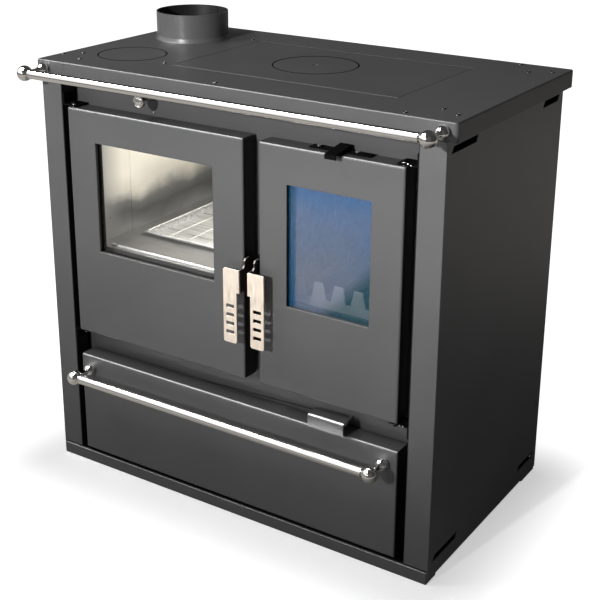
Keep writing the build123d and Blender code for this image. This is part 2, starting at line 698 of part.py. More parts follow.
# ---------------------------------------------------------------- doors
class Door:
    """One folded door: a shell, glass, seals, clips, inner panel, hinge pins and latch."""

    def __init__(self, width, margins, rise, head, hinge_side):
        self.width = width
        self.height = (door_bottom, door_top)
        self.window_x = (width[0] + margins[0], width[1] - margins[1])
        self.window_z = (door_bottom + rise, door_top - head)
        self.hinge_side = hinge_side
        self.outer_edge = width[0] if hinge_side < 0 else width[1]
        self.latch_edge = width[1] if hinge_side < 0 else width[0]
        self.pin_x = self.outer_edge - hinge_side * HINGE_PIN_SIDE_INSET
        self.pivot_y = door_front + LEVER_PIVOT_BEHIND
        self.pivot_z = door_bottom + LEVER_GRIP_TOP - LEVER_PIVOT_DROP
        self.lever_face = self.latch_edge - hinge_side * LEVER_EDGE_GAP
        self.sheet_back = door_front + DOOR_SHEET
        self.seal_back = self.sheet_back + GLASS_SEAL_DEPTH
        self.glass_back = self.seal_back + GLASS_THICKNESS
        self.panel_y = (door_back - INNER_PANEL_RECESS - INNER_PANEL_SHEET, door_back - INNER_PANEL_RECESS)

    def outward(self, near, far):
        """A span on X that starts at the latch edge and goes away from the door."""
        ends = (self.latch_edge - self.hinge_side * near, self.latch_edge - self.hinge_side * far)
        return (min(ends), max(ends))

    def shell(self):
        """Folded front sheet with its window and the holes for pins."""
        outer = block(self.width, (door_front, door_back), self.height)
        outer = fillet(outer.edges().filter_by(Axis.Y), DOOR_SHEET)
        outer = fillet(outer.faces().sort_by(Axis.Y)[0].edges(), DOOR_EDGE_ROUND)
        inner_x = grown(self.width, -DOOR_SHEET)
        inner_z = grown(self.height, -DOOR_SHEET)
        shell = outer - block(inner_x, (self.sheet_back, door_back + 1), inner_z)
        shell -= block(self.window_x, (door_front - 1, self.sheet_back + 1), self.window_z)
        shell -= rod_z(self.pin_x, pin_y, grown(self.height, 1), HINGE_PIN_RADIUS)
        return shell - rod_x(self.pivot_y, self.pivot_z, self.outward(-DOOR_SHEET - 1, 1), HINGE_PIN_RADIUS)

    def glass(self):
        """Window pane behind the front sheet's frame seal."""
        depth = (self.seal_back, self.glass_back)
        return block(grown(self.window_x, GLASS_LAP), depth, grown(self.window_z, GLASS_LAP))

    def seals(self):
        """Black frame seal that lines the window, and the rope seal round the door's back."""
        lap_x = grown(self.window_x, GLASS_LAP)
        lap_z = grown(self.window_z, GLASS_LAP)
        frame = frame_y(lap_x, (self.sheet_back, self.seal_back), lap_z, GLASS_LAP)
        rope_y = (self.panel_y[1], fascia_front - ROPE_CLEARANCE)
        rope = frame_y(grown(self.width, -ROPE_INSET), rope_y, grown(self.height, -ROPE_INSET), ROPE_WIDTH)
        return group(frame, rope)

    def clips(self):
        """Four angle clips at the window's corners that hold glass and seal."""
        clips = []
        for x, way_x in ((self.window_x[0], -1), (self.window_x[1], 1)):
            for z, way_z in ((self.window_z[0], -1), (self.window_z[1], 1)):
                edge = z + way_z * GLASS_LAP
                wall = sorted((edge, edge + way_z * GLASS_CLIP_SHEET))
                lip = sorted((z + way_z * GLASS_LAP / 2, edge + way_z * GLASS_CLIP_SHEET))
                start = x - way_x * GLASS_CLIP_SIZE
                span = sorted((start, start + way_x * GLASS_CLIP_SIZE))
                clip = block(span, (self.sheet_back, self.glass_back + GLASS_CLIP_SHEET), wall)
                clips.append(clip + block(span, (self.glass_back, self.glass_back + GLASS_CLIP_SHEET), lip))
        return group(*clips)

    def inner_panel(self):
        """Inner sheet of the door with its own, larger window."""
        panel = block(grown(self.width, -DOOR_SHEET), self.panel_y, grown(self.height, -DOOR_SHEET))
        hole_x = grown(self.window_x, INNER_PANEL_CLEAR)
        hole_z = grown(self.window_z, INNER_PANEL_CLEAR)
        return panel - block(hole_x, grown(self.panel_y, 1), hole_z)

    def pins(self):
        """Upper and lower hinge pin with their bosses, and the latch's headed pivot pin."""
        under = self.height[1] - DOOR_SHEET
        above = self.height[1] + HINGE_END_GAP + HINGE_BRACKET_SHEET + HINGE_PIN_END
        upper = rod_z(self.pin_x, pin_y, (under - HINGE_BOSS_LENGTH, above), HINGE_PIN_RADIUS)
        upper = fillet(upper.edges().sort_by(Axis.Z)[-1], HINGE_PIN_RADIUS / 2)
        upper += rod_z(self.pin_x, pin_y, (under - HINGE_BOSS_LENGTH, under), HINGE_BOSS_RADIUS)
        floor = self.height[0]
        below = floor - HINGE_END_GAP - HINGE_BRACKET_SHEET - HINGE_PIN_END
        lower = rod_z(self.pin_x, pin_y, (below, floor + DOOR_SHEET + HINGE_BOSS_LENGTH), HINGE_PIN_RADIUS)
        boss_z = (floor + DOOR_SHEET, floor + DOOR_SHEET + HINGE_BOSS_LENGTH)
        lower += rod_z(self.pin_x, pin_y, boss_z, HINGE_BOSS_RADIUS)
        shoulder = (floor - HINGE_END_GAP + BODY_CLEARANCE, floor)
        lower += rod_z(self.pin_x, pin_y, shoulder, HINGE_BOSS_RADIUS)
        y, z = self.pivot_y, self.pivot_z
        head_start = LEVER_EDGE_GAP + LEVER_SHEET + BODY_CLEARANCE
        pivot = rod_x(y, z, self.outward(-DOOR_SHEET - HINGE_BOSS_RADIUS, head_start), HINGE_PIN_RADIUS)
        pivot += rod_x(y, z, self.outward(head_start, head_start + PIVOT_HEAD_THICKNESS), PIVOT_HEAD_RADIUS)
        pivot += rod_x(y, z, self.outward(0, LEVER_EDGE_GAP - BODY_CLEARANCE), PIVOT_HEAD_RADIUS)
        pivot += rod_x(y, z, self.outward(-DOOR_SHEET - HINGE_BOSS_RADIUS, -DOOR_SHEET), PIVOT_HEAD_RADIUS)
        return group(upper, lower, pivot)

    def lever(self):
        """Latch lever folded from one sheet: slotted grip, shank and hooked arm."""
        grip_y = (door_front - LEVER_STANDOFF, door_front - LEVER_STANDOFF + LEVER_SHEET)
        top = door_bottom + LEVER_GRIP_TOP
        bottom = top - LEVER_GRIP_LENGTH
        shoulder = top - LEVER_SHOULDER
        side = -self.hinge_side
        face = self.lever_face
        back_face = face + side * LEVER_SHEET
        near = face - side * LEVER_STEP
        far = near - side * LEVER_GRIP_WIDTH
        outline = [(far, bottom), (near, bottom), (near, shoulder)]
        outline += [(back_face, shoulder), (back_face, top), (far, top)]
        grip = prism_y(outline, grip_y)
        across = grip.edges().filter_by(Axis.Y)
        low_edges = across.filter_by(lambda edge: edge.center().Z < bottom + 1)
        top_edges = across.filter_by(lambda edge: edge.center().Z > top - 1)
        outer_top = top_edges.filter_by(lambda edge: abs(edge.center().X - far) < 1)
        grip = fillet(low_edges + outer_top, LEVER_CORNER_ROUND)
        middle = (near + far) / 2
        for index in range(LEVER_SLOT_COUNT):
            low = bottom + LEVER_SLOT_RISE + index * LEVER_SLOT_PITCH - LEVER_SLOT_HEIGHT / 2
            slot_x = (middle - LEVER_SLOT_LENGTH / 2, middle + LEVER_SLOT_LENGTH / 2)
            grip -= block(slot_x, grown(grip_y, 1), (low, low + LEVER_SLOT_HEIGHT))
        return grip + self.lever_plate(grip_y[0], top, shoulder)

    def lever_plate(self, front, top, shoulder):
        """The lever's shank and arm, cut in the Y-Z plane beside the door's edge."""
        crown = top + LEVER_SHANK_RISE
        shank = front + LEVER_SHANK_SETBACK
        arm_top = self.pivot_z + LEVER_ARM_RISE
        arm_bottom = arm_top - LEVER_ARM_HEIGHT
        arm_end = fascia_front - LEVER_ARM_END_GAP
        pivot_y = self.pivot_y
        outline = [
            (front, shoulder), (front, top),
            (shank - LEVER_CORNER_ROUND, top), (shank, top + LEVER_CORNER_ROUND),
            (shank, crown - LEVER_CORNER_ROUND), (shank + LEVER_CORNER_ROUND, crown),
            (pivot_y - LEVER_CORNER_ROUND, crown), (pivot_y + LEVER_SHEET, arm_top + LEVER_ARM_HEIGHT),
            (pivot_y + LEVER_CORNER_ROUND, arm_top), (arm_end, arm_top), (arm_end, arm_bottom),
            (pivot_y + LEVER_ARM_HEIGHT, arm_bottom - LEVER_SHEET), (pivot_y, shoulder + LEVER_ARM_RISE),
            (shank, shoulder),
        ]
        ends = (self.lever_face, self.lever_face - self.hinge_side * LEVER_SHEET)
        span = (min(ends), max(ends))
        plate = prism_x(outline, span)
        return plate - rod_x(pivot_y, self.pivot_z, grown(span, 1), HINGE_PIN_RADIUS + RUNNING_CLEARANCE)

    def brackets(self):
        """The fixed brackets above and below the door that its pins turn in."""
        side = self.hinge_side
        wall = side * pillar_edge
        plate_x = sorted((wall, self.pin_x - side * HINGE_PLATE_LAP))
        leg_x = sorted((wall, wall - side * HINGE_BRACKET_SHEET))
        depth = (pillar_front + PANEL_SHEET, pillar_front + PILLAR_RETURN)
        plate_y = (min(pin_y - HINGE_BOSS_RADIUS, depth[0]), depth[1])
        solids = []
        for edge, way in ((self.height[1], 1), (self.height[0], -1)):
            near = edge + way * HINGE_END_GAP
            plate_z = sorted((near, near + way * HINGE_BRACKET_SHEET))
            bracket = block(plate_x, plate_y, plate_z)
            bracket += block(leg_x, depth, sorted((near, near + way * HINGE_BRACKET_LEG)))
            hole = rod_z(self.pin_x, pin_y, grown(plate_z, 1), HINGE_PIN_RADIUS + RUNNING_CLEARANCE)
            solids.append(bracket - hole)
        return solids

    def keeper_lug(self):
        """The lug over this door's latch arm, reaching from the middle post."""
        arm_top = self.pivot_z + LEVER_ARM_RISE
        ends = (self.latch_edge - self.hinge_side * KEEPER_LUG_GAP, post_centre)
        lug_y = (fascia_front - LEVER_ARM_END_GAP - KEEPER_LUG_DEPTH, fascia_front - LEVER_ARM_END_GAP)
        low = arm_top + KEEPER_CLEARANCE
        return block((min(ends), max(ends)), lug_y, (low, low + KEEPER_LUG_HEIGHT))


oven_door = Door(oven_door_x, OVEN_WINDOW_MARGINS, OVEN_WINDOW_RISE, OVEN_WINDOW_HEAD, -1)
fire_door = Door(fire_door_x, FIRE_WINDOW_MARGINS, FIRE_WINDOW_RISE, FIRE_WINDOW_HEAD, 1)


def make_keeper():
    """Post between the doors with a lug over each latch arm."""
    width = (post_centre - KEEPER_POST_WIDTH / 2, post_centre + KEEPER_POST_WIDTH / 2)
    low = oven_door.pivot_z + LEVER_ARM_RISE - KEEPER_POST_HEIGHT / 2
    depth = (fascia_front - KEEPER_POST_DEPTH, fascia_front)
    post = block(width, depth, (low, low + KEEPER_POST_HEIGHT))
    return post + oven_door.keeper_lug() + fire_door.keeper_lug()


def air_slider_span():
    """The secondary air slider's base: its ends on X, Y and Z."""
    end = fire_door_x[1] - AIR_SLIDER_INSET
    depth = (door_back - DOOR_SHEET - AIR_SLIDER_DEPTH, door_back - DOOR_SHEET)
    low = door_top + BODY_CLEARANCE
    return (end - AIR_SLIDER_LENGTH, end), depth, (low, low + AIR_SLIDER_SHEET)


def air_slots(height):
    """Cutters for the two air slots beside the tab."""
    centre = fire_door_x[1] - AIR_TAB_INSET
    middle = sum(air_slider_span()[1]) / 2
    depth = (middle - AIR_SLOT_WIDTH / 2, middle + AIR_SLOT_WIDTH / 2)
    cutters = []
    for side in (-1, 1):
        x = centre + side * AIR_SLOT_OFFSET
        cutters.append(block((x - AIR_SLOT_LENGTH / 2, x + AIR_SLOT_LENGTH / 2), depth, height))
    return cutters


def air_stud_places():
    """Centres of the two studs that guide the air slider."""
    width, depth, _ = air_slider_span()
    middle = sum(depth) / 2
    return ((width[0] + AIR_STUD_OFFSET / 2, middle), (width[1] - AIR_STUD_OFFSET, middle))


def make_fire_door_shell():
    """Firebox door shell with the air slots in its top flange."""
    shell = fire_door.shell()
    for cutter in air_slots((door_top - DOOR_SHEET - 1, door_top + 1)):
        shell -= cutter
    for x, y in air_stud_places():
        shell -= rod_z(x, y, (door_top - DOOR_SHEET - 1, door_top + 1), AIR_STUD_RADIUS)
    return shell


def make_fire_door_pins():
    """The firebox door's pins, with the two headed studs of the air slider."""
    solids = list(fire_door.pins().solids())
    head_low = air_slider_span()[2][1] + BODY_CLEARANCE
    for x, y in air_stud_places():
        stud = rod_z(x, y, (door_top - DOOR_SHEET, head_low), AIR_STUD_RADIUS)
        solids.append(stud + rod_z(x, y, (head_low, head_low + AIR_SLIDER_SHEET), AIR_STUD_HEAD))
    return group(*solids)


def make_air_slider():
    """Sliding air plate on the firebox door's top, with a sloping finger tab."""
    width, depth, height = air_slider_span()
    slider = block(width, depth, height)
    for cutter in air_slots(grown(height, 1)):
        slider -= cutter
    for x, y in air_stud_places():
        slot_x = (x - AIR_TRAVEL, x)
        half = AIR_STUD_RADIUS + BODY_CLEARANCE
        slider -= block(slot_x, (y - half, y + half), grown(height, 1))
        slider -= rod_z(slot_x[0], y, grown(height, 1), half) + rod_z(slot_x[1], y, grown(height, 1), half)
    centre = fire_door_x[1] - AIR_TAB_INSET
    back_top = height[1] + AIR_TAB_RISE - AIR_TAB_SHEET
    tip = door_front - AIR_TAB_REACH
    nose = height[1] + AIR_TAB_SHEET
    outline = [
        (depth[1], height[0]), (depth[1], back_top + AIR_TAB_SHEET), (tip + AIR_TAB_SHEET, nose),
        (tip, nose - AIR_TAB_SHEET / 2), (tip, nose - AIR_TAB_LIP), (tip + AIR_TAB_SHEET, nose - AIR_TAB_LIP),
        (tip + AIR_TAB_SHEET, nose - AIR_TAB_SHEET), (depth[1] - AIR_TAB_SHEET, back_top),
        (depth[1] - AIR_TAB_SHEET, height[0]),
    ]
    return slider + prism_x(outline, (centre - AIR_TAB_WIDTH / 2, centre + AIR_TAB_WIDTH / 2))


# ---------------------------------------------------------------- drawer
def make_drawer_front():
    """Folded drawer front, open at its back."""
    width = (-drawer_side, drawer_side)
    height = (drawer_bottom, drawer_top)
    outer = block(width, (door_front, door_back), height)
    outer = fillet(outer.edges().filter_by(Axis.Y), DOOR_SHEET)
    outer = fillet(outer.faces().sort_by(Axis.Y)[0].edges(), DOOR_EDGE_ROUND)
    hollow_y = (door_front + DOOR_SHEET, door_back + 1)
    return outer - block(grown(width, -DOOR_SHEET), hollow_y, grown(height, -DOOR_SHEET))


def make_drawer_box():
    """Open wood box behind the drawer front."""
    width = (-drawer_box_side, drawer_box_side)
    depth = (door_front + DOOR_SHEET, back_inner - DRAWER_BOX_BACK_GAP)
    box = block(width, depth, (drawer_box_bottom, drawer_box_top))
    inside_z = (drawer_box_bottom + DRAWER_SHEET, drawer_box_top + 1)
    return box - block(grown(width, -DRAWER_SHEET), grown(depth, -DRAWER_SHEET), inside_z)


# ---------------------------------------------------------------- oven and smoke path
def make_oven_liner():
    """Stainless oven box, open at the front, with a flange behind the front plate."""
    width, depth, height = oven_cavity()
    liner = block(grown(width, OVEN_SHEET), (depth[0], depth[1] + OVEN_SHEET), grown(height, OVEN_SHEET))
    liner += block(grown(width, OVEN_FLANGE), (depth[0], depth[0] + OVEN_SHEET), grown(height, OVEN_FLANGE))
    return liner - block(width, (depth[0] - 1, depth[1]), height)


def make_oven_bearers():
    """Two flat bars under the oven, from the left heat shield to the divider."""
    _, depth, height = oven_cavity()
    top = height[0] - OVEN_SHEET
    bars = []
    for start in (depth[0] + OVEN_BEARER_INSET, depth[1] - OVEN_BEARER_INSET - OVEN_BEARER_WIDTH):
        span = (start, start + OVEN_BEARER_WIDTH)
        bars.append(block((-shield_inner, divider_x[0]), span, (top - OVEN_BEARER_HEIGHT, top)))
    return group(*bars)


def make_oven_tray():
    """Shallow baking tray with a flat rim, lying on the oven floor."""
    width, depth, height = oven_cavity()
    rim_x = grown(width, -TRAY_SIDE_INSET)
    rim_y = (depth[0] + TRAY_FRONT_INSET, depth[0] + TRAY_FRONT_INSET + TRAY_LENGTH)
    top = height[0] + TRAY_HEIGHT
    pan = block(grown(rim_x, -TRAY_RIM), grown(rim_y, -TRAY_RIM), (height[0], top))
    tray = pan + block(rim_x, rim_y, (top - TRAY_SHEET, top))
    inside = TRAY_RIM + TRAY_SHEET
    return tray - block(grown(rim_x, -inside), grown(rim_y, -inside), (height[0] + TRAY_SHEET, top + 1))


def make_divider():
    """Upright sheet between oven and firebox, with the smoke's way over the oven."""
    depth = (fascia_back, back_inner - FRAME_WALL)
    plate = block(divider_x, depth, (bay_roof, ledge_bottom))
    port_top = ledge_bottom - DIVIDER_PORT_DROP
    port_z = (port_top - DIVIDER_PORT_HEIGHT, port_top)
    return plate - block(grown(divider_x, 1), grown(depth, -DIVIDER_PORT_MARGIN), port_z)


def damper_port():
    """The opening in the smoke shelf: its ends on X and Y."""
    wall_back = fascia_back + SMOKE_WALL_SETBACK
    width = (damper_x - DAMPER_PORT / 2, damper_x + DAMPER_PORT / 2)
    return width, (wall_back + DAMPER_PORT_FRONT, wall_back + DAMPER_PORT_FRONT + DAMPER_PORT)


def make_smoke_shelf():
    """Shelf over the oven and the wall in front of it, with the damper port and rod hole."""
    wall_y = (fascia_back + SMOKE_WALL_SETBACK - CARCASS_SHEET, fascia_back + SMOKE_WALL_SETBACK)
    wall_x = (PANEL_FLANGE - body_side, divider_x[0])
    width = (-shield_inner, divider_x[0])
    shelf_top = deck_under - SMOKE_SHELF_DROP
    shelf_z = (shelf_top - CARCASS_SHEET, shelf_top)
    bottom = oven_cavity()[2][1] + OVEN_SHEET
    shelf = block(wall_x, wall_y, (bottom, ledge_bottom)) + block(width, (wall_y[0], back_inner), shelf_z)
    port_x, port_y = damper_port()
    shelf -= block(port_x, port_y, grown(shelf_z, 1))
    hole = rod_y(damper_x, damper_rod_height(), grown(wall_y, 1), DAMPER_ROD_RADIUS + RUNNING_CLEARANCE)
    return shelf - hole


def make_damper_plate():
    """Smoke damper: a plate on the shelf, its lug and the rod out to the knob."""
    port_x, port_y = damper_port()
    low = deck_under - SMOKE_SHELF_DROP + BODY_CLEARANCE
    depth = (port_y[0] - DAMPER_PLATE_LAP - DAMPER_PLATE_LEAD, port_y[1] + DAMPER_PLATE_LAP)
    plate = block(grown(port_x, DAMPER_PLATE_LAP), depth, (low, low + DAMPER_PLATE_SHEET))
    rod_height = damper_rod_height()
    lug_x = (damper_x - 2 * DAMPER_ROD_RADIUS, damper_x + 2 * DAMPER_ROD_RADIUS)
    plate += block(lug_x, (depth[0], depth[0] + DAMPER_LUG), (low, rod_height + 2 * DAMPER_ROD_RADIUS))
    rod_front = fascia_front - DAMPER_KNOB_STANDOFF - DAMPER_KNOB_LENGTH / 2
    return plate + rod_y(damper_x, rod_height, (rod_front, depth[0] + 1), DAMPER_ROD_RADIUS)


def make_damper_knob():
    """Chrome knob with a collar, bored to sit on the damper's rod."""
    back = fascia_front - DAMPER_KNOB_STANDOFF
    front = back - DAMPER_KNOB_LENGTH
    height = damper_rod_height()
    knob = rod_y(damper_x, height, (front, back), DAMPER_KNOB_RADIUS)
    knob = fillet(knob.edges().group_by(Axis.Y)[0], DAMPER_KNOB_LENGTH / 4)
    knob += rod_y(damper_x, height, (back, back + DAMPER_COLLAR_LENGTH), DAMPER_COLLAR_RADIUS)
    socket = (front + DAMPER_KNOB_LENGTH / 2, back + DAMPER_COLLAR_LENGTH + 1)
    return knob - rod_y(damper_x, height, socket, DAMPER_ROD_RADIUS)


# ---------------------------------------------------------------- firebox
def firebox():
    """The firebox shell's inner faces: its ends on X, Y and Z."""
    mouth_x, _ = fire_mouth()
    width = grown(mouth_x, BRICK_THICKNESS)
    return width, (fascia_back, back_inner - FIREBOX_BACK_GAP), (bay_roof, deck_under - FIREBOX_HEAD_GAP)


def grate_top():
    """Height of the grate's upper face."""
    return fire_mouth()[1][0] + GRATE_RISE


def make_firebox_shell():
    """Firebox walls on the drawer bay's roof, the ash floor, and the grate's ledges."""
    width, depth, height = firebox()
    outer_x = grown(width, CARCASS_SHEET)
    outer_y = (depth[0], depth[1] + CARCASS_SHEET)
    sill = fire_mouth()[1][0]
    shell = block(outer_x, outer_y, height) - block(width, (depth[0] - 1, depth[1]), grown(height, 1))
    shell += block(outer_x, outer_y, (sill - CARCASS_SHEET, sill))
    ledge_z = (grate_top() - GRATE_THICKNESS - GRATE_LEDGE_SHEET, grate_top() - GRATE_THICKNESS)
    shell += block((width[0], width[0] + GRATE_LEDGE), depth, ledge_z)
    shell += block((width[1] - GRATE_LEDGE, width[1]), depth, ledge_z)
    slot_y = (depth[1] - ASH_AIR_SLOT_WIDTH - CARCASS_SHEET, depth[1] - CARCASS_SHEET)
    centre = sum(width) / 2
    for offset in (-ASH_AIR_SLOT_LENGTH, ASH_AIR_SLOT_LENGTH):
        slot_x = (centre + offset - ASH_AIR_SLOT_LENGTH / 2, centre + offset + ASH_AIR_SLOT_LENGTH / 2)
        shell -= block(slot_x, slot_y, (sill - CARCASS_SHEET - 1, sill + 1))
    return shell


def brick_row(along, ends, other, height, count):
    """A row of equal bricks with open joints, standing along X or Y."""
    pitch = (ends[1] - ends[0]) / count
    bricks = []
    for index in range(count):
        span = grown((ends[0] + index * pitch, ends[0] + (index + 1) * pitch), -BRICK_JOINT / 2)
        bricks.append(block(span, other, height) if along == "x" else block(other, span, height))
    return group(*bricks)


def make_firebricks():
    """Brick lining: left, right and back rows that stand on the grate's border."""
    width, depth, _ = firebox()
    height = (grate_top(), fire_mouth()[1][1])
    back_y = (depth[1] - BRICK_THICKNESS, depth[1])
    side_y = (depth[0], back_y[0])
    left = brick_row("y", side_y, (width[0], width[0] + BRICK_THICKNESS), height, 2)
    right = brick_row("y", side_y, (width[1] - BRICK_THICKNESS, width[1]), height, 2)
    back = brick_row("x", width, back_y, height, 2)
    return left, right, back


def make_grate():
    """Cast grate: a border with slots between its bars."""
    width, depth, _ = firebox()
    height = (grate_top() - GRATE_THICKNESS, grate_top())
    outer_x = grown(width, -GRATE_SIDE_CLEAR)
    outer_y = (depth[0] + GRATE_FRONT_SETBACK, depth[1] - GRATE_SIDE_CLEAR)
    grate = block(outer_x, outer_y, height)
    inner_x = grown(outer_x, -GRATE_BORDER)
    count = int((inner_x[1] - inner_x[0] + GRATE_BAR) // (GRATE_SLOT + GRATE_BAR))
    start = sum(inner_x) / 2 - (count * (GRATE_SLOT + GRATE_BAR) - GRATE_BAR) / 2
    for index in range(count):
        low = start + index * (GRATE_SLOT + GRATE_BAR)
        grate -= block((low, low + GRATE_SLOT), grown(outer_y, -GRATE_BORDER), grown(height, 1))
    return grate


def make_ash_pan():
    """Open ash pan on the ash floor, with a folded grip at its front."""
    mouth_x, mouth_z = fire_mouth()
    _, depth, _ = firebox()
    width = grown(mouth_x, -ASH_PAN_SIDE_CLEAR)
    length = (depth[0] + ASH_PAN_FRONT_SETBACK, depth[1] - ASH_PAN_BACK_CLEAR)
    height = (mouth_z[0], mouth_z[0] + ASH_PAN_HEIGHT)
    pan = block(width, length, height)
    inside_z = (height[0] + ASH_PAN_SHEET, height[1] + 1)
    pan -= block(grown(width, -ASH_PAN_SHEET), grown(length, -ASH_PAN_SHEET), inside_z)
    centre = sum(width) / 2
    grip_x = (centre - ASH_PAN_GRIP_WIDTH / 2, centre + ASH_PAN_GRIP_WIDTH / 2)
    grip_y = (length[0] - ASH_PAN_GRIP_REACH, length[0])
    return pan + block(grip_x, grip_y, (height[1] - 2 * ASH_PAN_SHEET, height[1]))


def make_log_fence():
    """Toothed fence that keeps the logs off the glass, folded to stand on the grate."""
    mouth_x, _ = fire_mouth()
    width = grown(mouth_x, -FENCE_SIDE_CLEAR)
    front = fascia_back + FENCE_SETBACK
    depth = (front, front + FENCE_SHEET)
    low = grate_top()
    top = low + FENCE_HEIGHT
    valley = top - FENCE_TOOTH_HEIGHT
    count = round((width[1] - width[0]) / FENCE_PITCH)
    bottom_half = FENCE_VALLEY / 2
    top_half = (FENCE_PITCH - FENCE_TOOTH_TOP) / 2
    fence = block(width, depth, (low, top))
    for index in range(count + 1):
        middle = width[0] + FENCE_FIRST_VALLEY + (index - 1) * FENCE_PITCH
        notch = [(middle - bottom_half, valley), (middle + bottom_half, valley)]
        notch += [(middle + top_half, top + 1), (middle - top_half, top + 1)]
        fence -= prism_y(notch, grown(depth, 1))
    return fence + block(width, (front, front + FENCE_FOOT), (low, low + FENCE_SHEET))


# ---------------------------------------------------------------- primary air control
def make_primary_handle():
    """Bare folded plate under the firebox door that works the primary air."""
    centre = sum(fire_door_x) / 2 + PLATE_OFFSET
    width = (centre - PLATE_WIDTH / 2, centre + PLATE_WIDTH / 2)
    low = drawer_top + PLATE_LIFT
    front = fascia_front - PLATE_STANDOFF
    outer = block(width, (front, front + PLATE_FLANGE), (low, low + PLATE_HEIGHT))
    fold = outer.edges().filter_by(Axis.X).sort_by(Axis.Z)[-2:].sort_by(Axis.Y)[0]
    outer = fillet(fold, PLATE_ROUND)
    hollow_y = (front + PLATE_SHEET, front + PLATE_FLANGE + 1)
    inner = block(grown(width, 1), hollow_y, (low - 1, low + PLATE_HEIGHT - PLATE_SHEET))
    inner_fold = inner.edges().filter_by(Axis.X).sort_by(Axis.Z)[-2:].sort_by(Axis.Y)[0]
    return outer - fillet(inner_fold, PLATE_ROUND - PLATE_SHEET)


def make_primary_rod():
    """Rod from the handle plate through the front plate to the air shutter."""
    x, z = primary_rod_place()
    width, length = shutter_span()
    front = fascia_front - PLATE_STANDOFF + PLATE_SHEET
    low = bay_roof + BODY_CLEARANCE
    shutter = block(width, length, (low, low + SHUTTER_SHEET))
    lug_y = (length[0], length[0] + SHUTTER_LUG)
    lug = block((x - SHUTTER_LUG, x + SHUTTER_LUG), lug_y, (low, z + PRIMARY_ROD_RADIUS))
    return rod_y(x, z, (front, length[0] + 1), PRIMARY_ROD_RADIUS) + shutter + lug


def make_primary_spring():
    """Coil of wire round the rod behind the handle plate."""
    x, z = primary_rod_place()
    start = fascia_front - PLATE_STANDOFF + PLATE_SHEET + PRIMARY_SPRING_WIRE
    room = PLATE_FLANGE - PLATE_SHEET
    turns = max(2, ceil(room / PRIMARY_SPRING_PITCH) - 1)
    coil_radius = PRIMARY_SPRING_RADIUS - PRIMARY_SPRING_WIRE
    path = Helix(PRIMARY_SPRING_PITCH, turns * PRIMARY_SPRING_PITCH, coil_radius)
    section = Plane(origin=path @ 0, z_dir=path % 0) * Circle(PRIMARY_SPRING_WIRE)
    coil = sweep(section, path=path)
    return Pos(x, start, z) * Rot(-90, 0, 0) * coil


# ---------------------------------------------------------------- the whole stove
def make_nodes():
    """Every named piece of the stove, before the shift to the footprint's middle."""
    right_panel = make_right_side_panel()
    bricks = make_firebricks()
    top_rail = make_rail(half_width - TOP_RAIL_SIDE_INSET, top_rail_y, top_rail_z, deck_front)
    drawer_rail = make_rail(drawer_side - DRAWER_RAIL_SIDE_INSET, drawer_rail_y, drawer_rail_z, door_front)
    return {
        "plinth": make_plinth(),
        "base_plate": make_base_plate(),
        "side_panel_left": mirrored(right_panel),
        "side_panel_right": right_panel,
        "back_panel": make_back_panel(),
        "front_plate": make_front_plate(),
        "heat_shields": make_heat_shields(),
        "drawer_bay_roof": make_drawer_bay_roof(),
        "drawer_runners": make_drawer_runners(),
        "top_frame": make_top_frame(),
        "worktop": make_worktop(),
        "worktop_screws": make_worktop_screws(),
        "hotplate_ledges": make_ledges(),
        "flue_spigot": make_flue_spigot(),
        "hotplate_insert": make_insert(),
        "hotplate_lid": make_lid(),
        "cleaning_cover": make_cleaning_cover(),
        "top_rail": top_rail[0],
        "top_rail_balls": top_rail[1],
        "top_rail_posts": top_rail[2],
        "hinge_brackets": group(*oven_door.brackets(), *fire_door.brackets()),
        "latch_keeper": make_keeper(),
        "oven_door_shell": oven_door.shell(),
        "oven_door_glass": oven_door.glass(),
        "oven_door_seals": oven_door.seals(),
        "oven_door_clips": oven_door.clips(),
        "oven_door_inner_panel": oven_door.inner_panel(),
        "oven_door_pins": oven_door.pins(),
        "oven_latch_lever": oven_door.lever(),
        "firebox_door_shell": make_fire_door_shell(),
        "firebox_door_glass": fire_door.glass(),
        "firebox_door_seals": fire_door.seals(),
        "firebox_door_clips": fire_door.clips(),
        "firebox_door_inner_panel": fire_door.inner_panel(),
        "firebox_door_pins": make_fire_door_pins(),
        "firebox_latch_lever": fire_door.lever(),
        "secondary_air_slider": make_air_slider(),
        "drawer_front": make_drawer_front(),
        "drawer_box": make_drawer_box(),
        "drawer_rail": drawer_rail[0],
        "drawer_rail_balls": drawer_rail[1],
        "drawer_rail_posts": drawer_rail[2],
        "oven_liner": make_oven_liner(),
        "oven_bearers": make_oven_bearers(),
        "oven_tray": make_oven_tray(),
        "divider_plate": make_divider(),
        "smoke_shelf": make_smoke_shelf(),
        "smoke_damper_plate": make_damper_plate(),
        "smoke_damper_knob": make_damper_knob(),
        "firebox_shell": make_firebox_shell(),
        "firebricks_left": bricks[0],
        "firebricks_right": bricks[1],
        "firebricks_back": bricks[2],
        "grate": make_grate(),
        "ash_pan": make_ash_pan(),
        "log_fence": make_log_fence(),
        "primary_air_handle": make_primary_handle(),
        "primary_air_rod": make_primary_rod(),
        "primary_air_spring": make_primary_spring(),
    }


os.makedirs("parts", exist_ok=True)
for node, shape in make_nodes().items():
    export_step(Pos(0, CENTRE_SHIFT, 0) * shape, f"parts/{node}.step")
print(f"centre shift {CENTRE_SHIFT:.2f}")
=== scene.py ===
"""Detailed visual model of a wood burning cookstove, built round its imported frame."""

import json
import logging
import math
from collections.abc import Sequence
from dataclasses import dataclass
from enum import Enum

import bmesh
import bpy
from mathutils import Matrix, Vector


